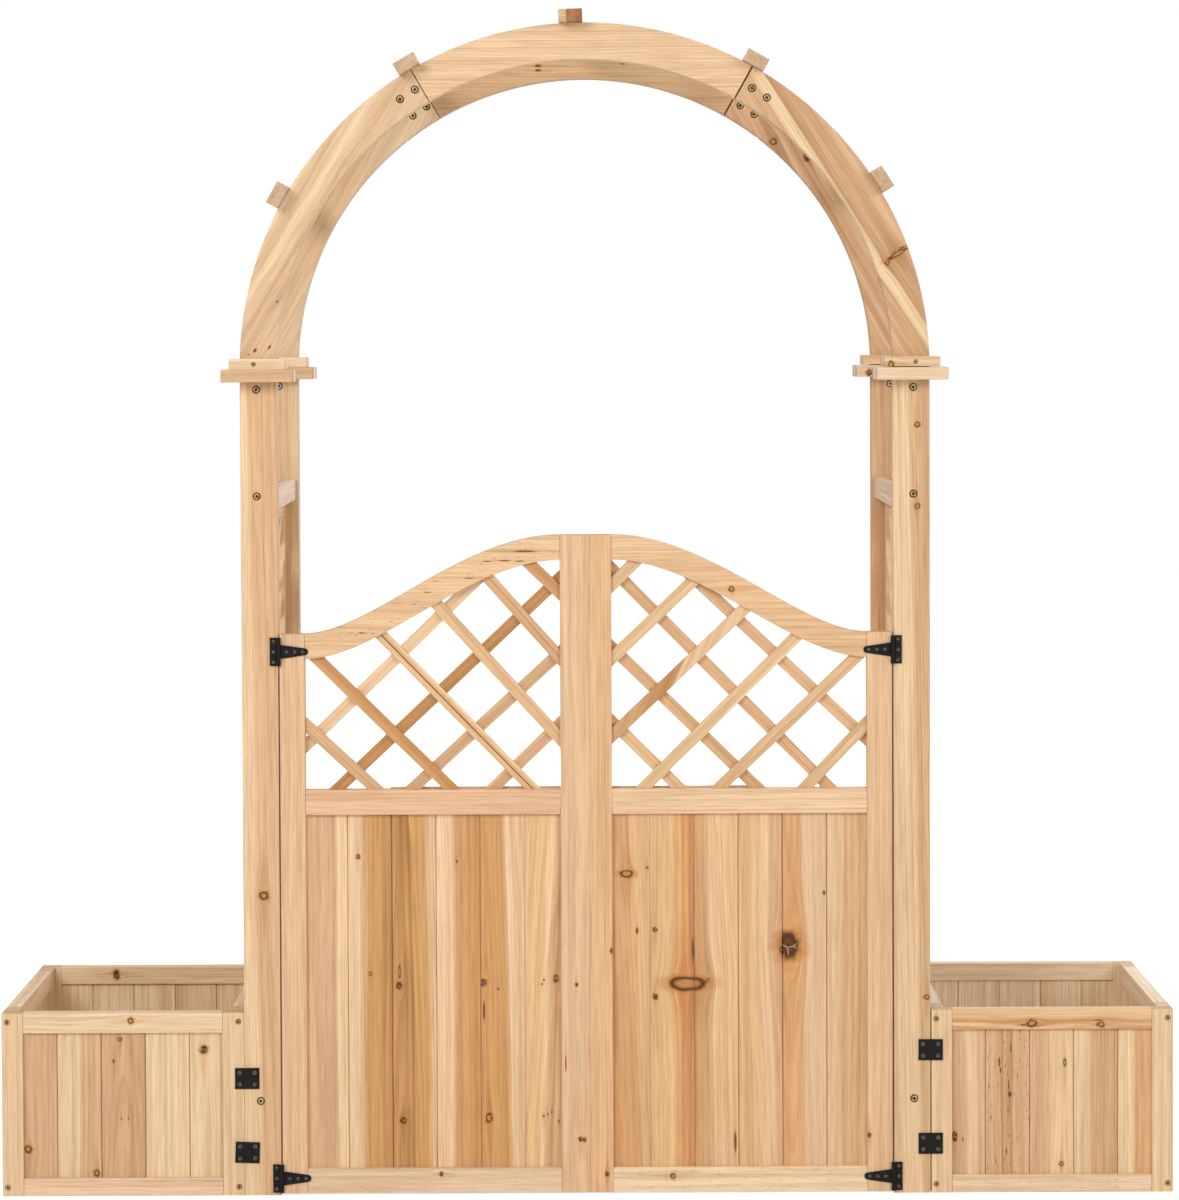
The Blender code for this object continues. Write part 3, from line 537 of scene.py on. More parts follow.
def plain_object(name, shape):
    """Turns a shape into an object of the scene."""
    mesh = bpy.data.meshes.new(name)
    shape.to_mesh(mesh)
    shape.free()
    made = bpy.data.objects.new(name, mesh)
    scene.collection.objects.link(made)
    return made


def piece(name, shape, skins, body, nodes=(), edge=PLANED_EDGE):
    """Makes the piece that stands for these nodes, rounds its edges, and lets it ride."""
    made = plain_object(name, shape)
    for face in made.data.polygons:
        face.use_smooth = bool(edge)
    for skin in skins:
        made.data.materials.append(skin)
    if edge:
        round_edges(made, edge)
    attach(made, body)
    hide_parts(*nodes)


def wood(name, shape, node, slot, body="arbor", edge=PLANED_EDGE, cut="planed", **look):
    """Makes a softwood piece that stands for a node. The shape may be a list of planks, each
    given by two corners. The look goes to softwood()."""
    if isinstance(shape, list):
        planks, shape = shape, bmesh.new()
        for corners in planks:
            plank(shape, *corners)
    piece(name, shape, [softwood(f"{cut}_softwood_{name}", **look)], body, [node], edge)


# Tones of the wood, read off the boards
SAP = "F0CFA6"
STRAW = "E9C49A"
PINK = "DFB68D"
TAN = "D8AB7A"
BUFF = "E3BA90"
PALE = [(-30, SAP), (0, "ECCAA0"), (30, STRAW)]
MIXED = [(-40, SAP), (-15, STRAW), (5, BUFF), (22, TAN), (40, STRAW)]
WARM = [(-40, BUFF), (-10, TAN), (10, "DDB385"), (40, STRAW)]


# Posts: upright grain, the sapwood stripe on their outer or inner edge
POST_LOOKS = {
    "post_front_left": dict(
        bands=[(-50, "EDCCA3"), (-5, "EBCAA2"), (4, "DEB48B"), (50, "DBB086")],
        knots=[(4, 522, 7.6, 1.0, "pale")], slant=-12.7, pith=(60, 30)
    ),
    "post_front_right": dict(
        bands=[
            (-60, "D9B68C"), (-22, "D9B68C"), (-16, "E6C59D"), (15, "E6C59D"), (21, "D6B086"),
            (60, "D3AC82")
        ],
        knots=[
            (10.5, 1333, 4.6, 1.1, "pale"), (10, 1192, 4.6, 1.1, "pale"), (25, 341, 4.4, 1.0, "pale")
        ],
        slant=-15, pith=(-55, 40)
    ),
    "post_back_left": dict(bands=[(-31, "DFBF98"), (0, "D6B48C"), (31, "DFBF98")], pith=(20, 70)),
    "post_back_right": dict(bands=[(-31, "D8B088"), (0, "CCA27A"), (31, "D4AA80")], pith=(-25, 60))
}
for side, sign in SIDES.items():
    for place in FRAMES:
        node = f"post_{place}_{side}"
        low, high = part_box(node)
        heights = (0.0, SPRING_HEIGHT - POST_LAP, high.z)
        depths = (low.y, (low.y + high.y) / 2 - FIT / 2, high.y)
        shape = bmesh.new()
        lapped_bar(
            shape, [((low.x, z), (high.x, z)) for z in heights], depths, [(0, 0), (0, 1), (1, 0)]
        )
        origin = (sign * POST_MIDDLE, low.y, 0)
        wood(f"{place}_{side}_post", shape, node, "post_wood", origin=origin, **POST_LOOKS[node])


def on_arch(angle, radius):
    """The point (x, z) at an angle from the crown and a radius."""
    return radius * math.sin(angle), SPRING_HEIGHT + radius * math.cos(angle)


# Arches: each segment's grain runs straight along the plank it was sawn from
ARCH_LOOKS = {
    "arch_front_crown": dict(
        bands=[(-90, "E0BC94"), (-30, "E6C39C"), (10, "E5C19C"), (60, "E2BD98")], ring=0.8,
        pith=(90, 40)
    ),
    "arch_back_crown": dict(
        bands=[(-60, "D9B58C"), (60, "D3AC82")],
        knots=[(-23.8, -83.5, 2.4, 2.4), (-15.5, -83.5, 2.0, 2.6), (-27.6, 72.9, 2.2, 2.0)],
        pith=(80, 50)
    ),
    "arch_front_left": dict(
        bands=[
            (-110, "DDBD9A"), (-60, "DBB895"), (-30, "D6B18C"), (-20, "DFBE98"), (-13, "E8C9A3"),
            (-7, "EECFA8"), (-1, "E8C7A0"), (6, "E3C09A"), (13, "D9B58F"), (19, "E6C49D"),
            (28, "EDCDA5"), (40, "EFD0A8")
        ],
        knots=[
            (-54.7, -255, 2.2, 1.6), (-73.8, -238, 1.5, 2.5), (-48.3, -267, 1.2, 1.5),
            (-46.6, -163, 1.4, 1.3)
        ],
        slant=-30, pith=(140, 50), fleck=0.3
    ),
    "arch_back_left": dict(
        bands=[(-90, "DDC09D"), (-50, "DEC29F"), (-32, "DABA96"), (-20, "D6B28C"), (10, "CFAC85")],
        pith=(90, 60)
    ),
    "arch_front_right": dict(
        bands=[
            (-100, "D9B18B"), (-60, "CFA67D"), (-48, "CDA47A"), (-45, "E4C6A0"), (-38, "E9CBA2"),
            (-29, "E9CBA2"), (-27, "DDB78C"), (-25.5, "B88B60"), (-22, "CBA077"), (-10, "CDA27A"),
            (0, "C79C72"), (6, "CAA078"), (12, "D2AC84"), (22, "DAB48E"), (30, "D0AA82"), (40, "DDB892")
        ],
        knots=[(4, 101, 20, 0.2, "pale"), (-21, 106, 4.5, 0.7, "pale"), (8, 96, 11, 0.2)], slant=45,
        pith=(-150, 60)
    ),
    "arch_back_right": dict(
        bands=[
            (-90, "D6AD86"), (-57, "D9B088"), (-52, "C09871"), (-46, "C09871"), (-40, "DCB894"),
            (-33, "D2A680"), (-24, "C99C73"), (-12, "D4AC86"), (10, "D6AF88")
        ],
        knots=[(-53, -183, 7.0, 0.9, "pale"), (-14.4, -126, 5.0, 1.4), (-9.7, 142, 4.5, 1.2)],
        pith=(-90, 50)
    )
}
# Angle from the crown at which the straight grain of a side segment runs along the arch
SEGMENT_SLOPE = math.radians(60.0)


def spread(start, end):
    """Angles from start to end, about ARC_STEP apart."""
    count = round((end - start) / ARC_STEP)
    return [start + (end - start) * step / count for step in range(count + 1)]


def arch_stations(angles):
    return [(on_arch(angle, INNER_RADIUS), on_arch(angle, OUTER_RADIUS)) for angle in angles]


for place in FRAMES:
    front = FRAME_FRONT[place]
    layers = (front, front + POST_DEPTH / 2, front + POST_DEPTH)
    left, right = -JOINT_ANGLE["left"], JOINT_ANGLE["right"]
    left_lap = spread(left - JOINT_LAP, left)[:-1]
    middle = spread(left, right)
    angles = left_lap + middle + spread(right, right + JOINT_LAP)[1:]
    cells = [(cell, 1) for cell in range(len(angles) - 1)]
    cells += [(cell, 0) for cell in range(len(left_lap), len(left_lap) + len(middle) - 1)]
    shape = bmesh.new()
    lapped_bar(shape, arch_stations(angles), layers, cells)
    node = f"arch_{place}_crown"
    wood(
        f"{place}_crown_segment", shape, node, "arch_wood", along=RIGHT, across=-UP,
        origin=(0, front, SPRING_HEIGHT + INNER_RADIUS), **ARCH_LOOKS[node]
    )
    for side, sign in SIDES.items():
        start = JOINT_ANGLE[side] + JOINT_GAP[side]
        lap = spread(start, start + JOINT_LAP)[:-1]
        angles = lap + spread(start + JOINT_LAP, math.pi / 2)
        stations = arch_stations([sign * angle for angle in angles])
        foot = SPRING_HEIGHT - POST_LAP + FIT
        stations.append(((sign * INNER_RADIUS, foot), (sign * OUTER_RADIUS, foot)))
        cells = [(cell, 0) for cell in range(len(angles) - 1)]
        cells += [(cell, 1) for cell in range(len(lap), len(angles))]
        shape = bmesh.new()
        lapped_bar(shape, stations, layers, cells)
        node = f"arch_{place}_{side}"
        x, z = on_arch(sign * SEGMENT_SLOPE, POST_MIDDLE)
        run, rise = math.cos(SEGMENT_SLOPE), math.sin(SEGMENT_SLOPE)
        wood(
            f"{place}_{side}_arch_segment", shape, node, "arch_wood", along=(run, 0, -sign * rise),
            across=(sign * rise, 0, run), origin=(x, front, z), **ARCH_LOOKS[node]
        )


# Rafters: rough ends, orange-brown where the saw passed
RAFTER_LOOKS = [
    [(-20, "E6CEB4"), (20, "DDC4AA")], [(-20, "E2C8AE"), (20, "E8CFB4")],
    [(-20, "EACDB2"), (-7, "EACDB2"), (-5, "B48258"), (4, "C29068"), (20, "A57650")],
    [(-20, "E6CCB2"), (20, "DFC5AA")], [(-20, "E2C9B0"), (20, "DCC1A4")]
]
RAFTER_WIDTH = 0.041
RAFTER_THICKNESS = 0.021
RAFTER_ANGLES = [math.radians(angle) for angle in (-60.3, -30.1, -2.1, 29.3, 57.8)]
RAFTER_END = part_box("rafter_3")[1].y
for number, (angle, tones) in enumerate(zip(RAFTER_ANGLES, RAFTER_LOOKS), start=1):
    half = Vector((RAFTER_WIDTH / 2, RAFTER_END, RAFTER_THICKNESS / 2))
    x, z = on_arch(angle, OUTER_RADIUS + FIT + half.z)
    turn = Matrix.Translation((x, 0, z)) @ Matrix.Rotation(angle, 4, "Y")
    shape = bmesh.new()
    plank(shape, -half, half)
    shape.transform(turn)
    wood(
        f"rafter_{number}_lath", shape, f"rafter_{number}", "rafter_wood", cut="sawn", bands=tones,
        along=DEEP, across=turn.to_3x3() @ RIGHT, origin=(x, 0, z), pitch=4.0, pith=(-6 * number, 20),
        ring=0.8
    )


# Collars: two rings of trim, the lower one wider. Each has a long strip in front and one
# behind, with short ones between them. A ring's sizes are its overhang, bottom and top
COLLAR_LAYERS = {
    "lower": (0.030, SPRING_HEIGHT - 0.0215, SPRING_HEIGHT),
    "upper": (0.017, SPRING_HEIGHT, SPRING_HEIGHT + 0.0185)
}
COLLAR_TONES = {
    ("left", "lower"): [(-12, "D8B28C"), (12, "D6B08A")],
    ("left", "upper"): [(-12, "F4D8B2"), (12, "F2D5B0")],
    ("right", "lower"): [(-12, "EACFB2"), (12, "E8CCAD")],
    ("right", "upper"): [(-12, "E6C29A"), (12, "E6C7A0")]
}
# Tones of the short strips that run from front to back, painted paler than the wood as painted light on
# their side faces, which the lamps only graze
COLLAR_RETURNS_PAINTED_LIGHT = [(-12, "F2DEC6"), (12, "EED8BE")]
COLLAR_KNOTS = {
    "front_right_collar_upper": [(6, -36.5, 6.0, 0.8, "pale")],
    "back_right_collar_lower": [(3, -38, 6.0, 1.0)]
}
# The upper ring on the right stands a little off the lower one
COLLAR_GAP = {"left": 0.0, "right": 0.0013}
for side, sign in SIDES.items():
    for place in FRAMES:
        front = FRAME_FRONT[place] - FIT
        back = FRAME_FRONT[place] + POST_DEPTH + FIT
        for layer, (overhang, bottom, top) in COLLAR_LAYERS.items():
            if layer == "upper":
                bottom += COLLAR_GAP[side]
            near, far = sign * (INNER_RADIUS - overhang), sign * (OUTER_RADIUS + overhang)
            inside, outside = sign * (INNER_RADIUS - FIT * 2), sign * (OUTER_RADIUS + FIT)
            ahead, behind = front - overhang, back + overhang
            name = f"{place}_{side}_collar_{layer}"
            strips = [
                ((near, ahead, bottom), (far, front, top)), ((near, back, bottom), (far, behind, top))
            ]
            look = dict(
                bands=COLLAR_TONES[side, layer], knots=COLLAR_KNOTS.get(name, ()), along=RIGHT,
                across=-UP, origin=(sign * POST_MIDDLE, ahead, (bottom + top) / 2)
            )
            returns = [
                ((near, front, bottom), (inside, back, top)),
                ((outside, front, bottom), (far, back, top))
            ]
            turned = dict(bands=COLLAR_RETURNS_PAINTED_LIGHT, along=DEEP, origin=(near, front, bottom))
            for part, planks, its_look in (("strips", strips, look), ("returns", returns, turned)):
                wood(
                    f"{name}_{part}", planks, f"collar_{place}_{side}", "trim_wood", pitch=4.0,
                    islands=True, **its_look
                )


# Side trellises: cross rail, frame, and two layers of slats at 45 degrees
for side, sign in SIDES.items():
    node = f"cross_rail_{side}"
    low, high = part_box(node)
    wood(
        f"{side}_cross_rail", [(low, high)], node, "rail_wood", along=DEEP, across=UP,
        bands=[(-20, "EACFB6"), (20, "EED4BA")], origin=(low + high) / 2, pitch=4.0
    )
    node = f"trellis_{side}"
    low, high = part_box(node)
    stiles = [
        ((low.x, y, low.z), (high.x, y + TRELLIS_STILE, high.z))
        for y in (low.y, high.y - TRELLIS_STILE)
    ]
    wood(
        f"{side}_trellis_stiles", stiles, node, "slat_wood", bands=WARM, across=DEEP,
        origin=(low.x, 0, 0), islands=True
    )
    rail_start, rail_end = low.y + TRELLIS_STILE + FIT, high.y - TRELLIS_STILE - FIT
    rails = [
        ((low.x, rail_start, z), (high.x, rail_end, z + TRELLIS_RAIL))
        for z in (low.z, high.z - TRELLIS_RAIL)
    ]
    wood(
        f"{side}_trellis_rails", rails, node, "slat_wood", bands=PALE, along=DEEP, across=UP,
        origin=(low.x, 0, 0), islands=True
    )
    half_span = high.y - TRELLIS_STILE
    sill, head = low.z + TRELLIS_RAIL, high.z - TRELLIS_RAIL
    count = math.ceil((head - sill + 2 * half_span) / SLAT_PITCH)
    middle = (low.x + high.x) / 2
    # Slats longer than the panel, cut to its opening
    half = Vector((TRELLIS_SLAT_THICKNESS, SLAT_WIDTH, (head - sill) * 3)) / 2
    for label, lean in (("inner", 1), ("outer", -1)):
        shape = bmesh.new()
        centre = middle - sign * lean * (TRELLIS_SLAT_THICKNESS - SLAT_NOTCH) / 2
        for index in range(count):
            slat = plank(shape, -half, half)
            place = (centre, lean * (half_span - SLAT_PITCH * (index + 0.5)), sill)
            turn = Matrix.Translation(place) @ Matrix.Rotation(-lean * math.pi / 4, 4, "X")
            bmesh.ops.transform(shape, matrix=turn, verts=slat)
        for point, normal in (
            ((0, half_span + SLAT_TUCK, 0), DEEP), ((0, -half_span - SLAT_TUCK, 0), -DEEP),
            ((0, 0, sill - SLAT_TUCK), -UP), ((0, 0, head + SLAT_TUCK), UP)
        ):
            everything = shape.verts[:] + shape.edges[:] + shape.faces[:]
            made = bmesh.ops.bisect_plane(
                shape, geom=everything, plane_co=point, plane_no=normal, clear_outer=True
            )
            rim = [item for item in made["geom_cut"] if isinstance(item, bmesh.types.BMEdge)]
            bmesh.ops.edgeloop_fill(shape, edges=rim)
        wood(
            f"{side}_trellis_{label}_slats", shape, node, "slat_wood", edge=SAWN_EDGE, bands=MIXED,
            along=(0, lean, 1), across=(0, 1, -lean), origin=(centre, 0, 0), pitch=4.0, islands=True
        )


# Gate boards, from the meeting stile outwards on the right leaf and from the
# hinge stile inwards on the left one, so always from left to right
GATE_BOARDS = {
    "left": [
        dict(bands=[(-36, PINK), (15, "D7AD87"), (19, "EECDA4"), (36, "ECCAA0")], pith=(-30, 40)),
        dict(
            bands=[
                (-38, "EECBA2"), (-18, "EAC7A2"), (-9, "D8A87A"), (0, "D3A16A"), (20, "CF9D65"),
                (26, "BF8B52"), (30, "CB9A64"), (38, "C08C55")
            ],
            knots=[(-20, 588, 3.4, 1.3), (0, 384, 2.6, 1.6, "pale")], pith=(50, 50)
        ),
        dict(
            bands=[
                (-26, "C99A66"), (-14, "C39360"), (-10, "B88850"), (-6, "CB9C68"), (0, "AC7B44"),
                (4, "D2A066"), (28, "D6A46C"), (35, "E8C49C"), (48, "E9C8A4")
            ],
            knots=[(-27, 363, 5.4, 1.1), (-26, 388, 2.2, 5, "pale"), (-21, 128, 5.2, 1.1)], slant=-18,
            pith=(-14, 35), lean=(12, 20), ring=0.9
        ),
        dict(
            bands=[
                (-38, "EFCBA2"), (-14, "EFCAA2"), (-7, "DDB08A"), (-2, "D3A06C"), (20, "D0A06A"),
                (30, "C9955F"), (38, "CF9C66")
            ],
            knots=[(-2.5, 579, 1.8, 1.3)], pith=(60, 60)
        ),
        dict(
            bands=[
                (-38, "D4A16A"), (8, "D09C64"), (14, "D6A874"), (19, "EDCBA7"), (26, "EAC59C"),
                (32, "E3BC90"), (42, "EAC49A")
            ],
            knots=[
                (-34, 368, 5.8, 1.1), (-33, 319, 1.7, 9), (-8, 357, 1.6, 1.2),
                (-25, 132, 5.5, 1.6, "pale")
            ],
            slant=-21, pith=(-60, 60)
        ),
        dict(
            bands=[
                (-40, "E9BE8F"), (-14, "EBC08E"), (-4, "F0CBA0"), (2, "DDB48C"), (8, "D7AC80"),
                (11, "BE925E"), (14, "D6AA7E"), (30, "D8AE84")
            ],
            knots=[
                (22, 374, 4.0, 1.7), (1, 372, 1.7, 1.2), (-2, 365, 1.5, 1.2), (0, 135, 1.7, 1.2),
                (7, 138, 1.5, 1.2), (14, 142, 1.5, 1.2), (26, 126, 1.7, 1.2)
            ],
            slant=35, pith=(12, 40), lean=(0, 25)
        )
    ],
    "right": [
        dict(
            bands=[(-15, "CF9C6A"), (-6, "D6A676"), (16, "D8A878"), (24, "E2B688"), (50, "E4B98C")],
            knots=[(-8, 557, 12.5, 0.5, "pale"), (28, 567, 2.0, 1.2), (10, 457, 2.2, 2.2)], slant=-36,
            pith=(-20, 50)
        ),
        dict(
            bands=[
                (-38, "E0B586"), (-6, "E5BC8A"), (4, "E6BE8C"), (9, "DDA673"), (13, "E2B07C"),
                (18, "D2935F"), (25, "DBA370"), (31, "C98A56"), (38, "D8A270")
            ],
            knots=[
                (26, 365, 35, 0.34, "pale"), (-30, 459, 3.8, 1.2), (-30, 342, 4.2, 1.2),
                (36, 424, 1.8, 10)
            ],
            pith=(20, 50)
        ),
        dict(
            bands=[
                (-40, "CF9E6E"), (-22, "D3A474"), (-8, "D6AB80"), (-1, "EAC49A"), (10, "E9C095"),
                (40, "E6BC90")
            ],
            knots=[(-50, 365, 35, 0.34, "pale"), (-15, 370, 3.8, 1.3), (32, 89, 1.9, 9)], slant=-18,
            pith=(-50, 50)
        ),
        dict(
            bands=[
                (-26, "E3B888"), (-2, "E1B585"), (6, "EBC396"), (12, "E5BB8E"), (18, "EFC9A0"),
                (26, "EDC69C"), (31, "D8AE84"), (50, "DAB088")
            ],
            knots=[(49.5, 430, 19, 1.25)], slant=-18, pith=(0, 70)
        ),
        dict(
            bands=[
                (-38, "DDAA7A"), (-12, "E0B07E"), (-3, "D9A672"), (2, "E2BE98"), (20, "DFBC96"),
                (38, "E3BF99")
            ],
            knots=[(-27, 430, 19, 1.25), (34, 522, 2.2, 1.8)], slant=-15, pith=(-20, 30), lean=(0, -30)
        ),
        dict(
            bands=[
                (-34, "E4C19B"), (-14, "E1BC94"), (-4, "D6AB80"), (2, "DEB488"), (8, "D2A679"),
                (14, "DCB184"), (20, "D0A375"), (27, "E1B88C"), (34, "DFB58A")
            ],
            pith=(10, 50)
        )
    ]
}
GATE_FRAME_LOOKS = {
    "gate_left_hinge_stile": dict(bands=[(-21, "E4BE95"), (21, "E6C098")], pith=(-40, 40)),
    "gate_left_meeting_stile": dict(
        bands=[(-21, "E4BF98"), (21, "E2BC94")],
        knots=[(4, 365, 2.8, 1.2), (10, 96, 3.6, 1.2), (17, 95, 3.4, 1.2), (-15, 228, 1.1, 12)],
        pith=(10, 60)
    ),
    "gate_right_meeting_stile": dict(
        bands=[(-21, "E5BA8F"), (21, "E4B88D")], knots=[(11, 35, 3.4, 1.2), (20, 424, 2.4, 2)],
        pith=(-50, 40)
    ),
    "gate_right_hinge_stile": dict(
        bands=[(-21, "E4BE94"), (21, "E0B88F")], knots=[(-19, 101, 3.0, 1.4)], pith=(60, 40)
    ),
    "gate_left_bottom_rail": dict(
        bands=[(-21, "E3C5A4"), (21, "E3C5A4")], knots=[(-11, 11, 3.8, 0.9)], fleck=0.6
    ),
    "gate_right_bottom_rail": dict(
        bands=[(-21, "F0D6B2"), (21, "EED3AF")], knots=[(-6, -117, 4.8, 0.9, "pale")], fleck=0.6
    ),
    "gate_left_middle_rail": dict(bands=[(-21, "E8BC97"), (21, "E6BA95")], pith=(30, 50)),
    "gate_right_middle_rail": dict(bands=[(-21, "ECC9A3"), (21, "EAC7A0")], pith=(-30, 50)),
    "gate_left_top_rail": dict(
        bands=[(-90, "E8C49B"), (90, "E4BE94")],
        knots=[
            (-57, 161, 1.5, 11), (-40, 95, 0.9, 7), (-41, 125, 1.0, 9), (-40, 152, 0.9, 8),
            (-11, 64, 0.8, 10), (13, -8, 0.7, 9), (83, -121, 0.8, 7)
        ],
        pith=(60, 50), fleck=0.8
    ),
    "gate_right_top_rail": dict(
        bands=[(-90, "E6C097"), (90, "E2BA8F")], knots=[(10, -13, 5.0, 1.0, "pale")], pith=(60, 50)
    )
}


def crest(side, step):
    """Point (x, z) on the gate's curved top edge and the normal into the rail below it, from
    the meeting stile at step 0 to the hinge stile at step 1."""
    sign = SIDES[side]
    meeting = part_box(f"gate_{side}_meeting_stile")
    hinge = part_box(f"gate_{side}_hinge_stile")
    start = Vector((max(abs(meeting[0].x), abs(meeting[1].x)), meeting[1].z))
    end = Vector((min(abs(hinge[0].x), abs(hinge[1].x)), hinge[1].z))
    leave = start + Vector((CREST_HANDLE, 0.0))
    arrive = end - Vector((FOOT_HANDLE, 0.0))
    rest = 1.0 - step
    point = rest**3 * start + 3 * rest**2 * step * leave
    point = point + 3 * rest * step**2 * arrive + step**3 * end
    slope = 3 * rest**2 * (leave - start) + 6 * rest * step * (arrive - leave)
    slope = (slope + 3 * step**2 * (end - arrive)).normalized()
    return Vector((sign * point.x, point.y)), Vector((sign * slope.y, -slope.x))


def crest_edge(side, drop, near, far):
    """The curved edge moved square to itself, its ends kept upright."""
    sign = SIDES[side]
    points = []
    for index in range(CREST_STEPS + 1):
        point, normal = crest(side, index / CREST_STEPS)
        points.append(point + normal * drop)
    points[0].x, points[-1].x = sign * near, sign * far
    return points


def lined(tone, place, line="A87848"):
    """The tones of a slat with one dark line along it."""
    return [(-10, tone), (place - 1.3, tone), (place, line), (place + 1.3, tone), (10, tone)]


# Lattice slats by their place, counted from the meeting stile along the sill: how far each
# was nailed from its mark (mm), the angle it leans (degrees), and its tones
LATTICE = {
    ("left", "front"): {
        -3: (0.0, 46.0, [(-10, "CF9E6E"), (10, "C48F5C")]), -2: (-14.6, 41.7, lined("D9AE84", 1.5)),
        -1: (-3.5, 42.2, lined("E0B88F", 3.0, "BE9060")),
        0: (
            4.9, 44.2,
            [
                (-10, "E0B88C"), (-1.6, "E6C197"), (-0.6, "A06A38"), (1.0, "8A5526"), (2.0, "E0B586"),
                (10, "ECCBA0")
            ]
        ),
        1: (0.2, 45.6, [(-10, "DCB28A"), (-6, "CE9A64"), (10, "CB9560")]),
        2: (4.6, 47.2, lined("D8AE86", 0.0, "B98E60"))
    },
    ("left", "rear"): {
        0: (0.8, 46.1, lined("DCB28B", 4.0, "C49A70")),
        1: (-3.9, 47.5, lined("D6AE86", -2.0, "BE946A")),
        2: (1.1, 46.7, [(-10, "C6925E"), (10, "BF8A56")]),
        3: (3.2, 46.1, [(-10, "E9C8A2"), (10, "E4C098")])
    },
    ("right", "front"): {
        -3: (0.0, 45.0, [(-10, "E0BC94"), (10, "DCB68C")]),
        -2: (-19.4, 46.4, lined("E4C198", -2.0, "D0A87C")),
        -1: (
            -14.0, 46.4,
            [
                (-20, "D6AC80"), (60, "D2A678"), (100, "C2925F"), (114, "C2925F"), (120, "E4C098"),
                (300, "E6C39C")
            ]
        ),
        0: (0.7, 45.4, [(-10, "E6C49A"), (0, "E2BE92"), (10, "EACAA2")]),
        1: (-3.1, 46.4, lined("DAB48A", 3.0, "BE9468")),
        2: (10.7, 43.8, lined("DDB88E", -3.0, "C8A076"))
    },
    ("right", "rear"): {
        0: (-1.4, 45.2, [(-10, "E2BD94"), (10, "DDB68A")]),
        1: (-1.1, 45.8, [(-10, "D8AE84"), (10, "D4A87C")]),
        2: (-11.6, 44.6, [(-10, "DDB28A"), (10, "DAAE84")]),
        3: (7.2, 46.8, [(-10, "D9B088"), (10, "D6AC82")])
    }
}
# One slat changes its tone halfway along
SPLIT_SLAT = ("right", "front", -1)
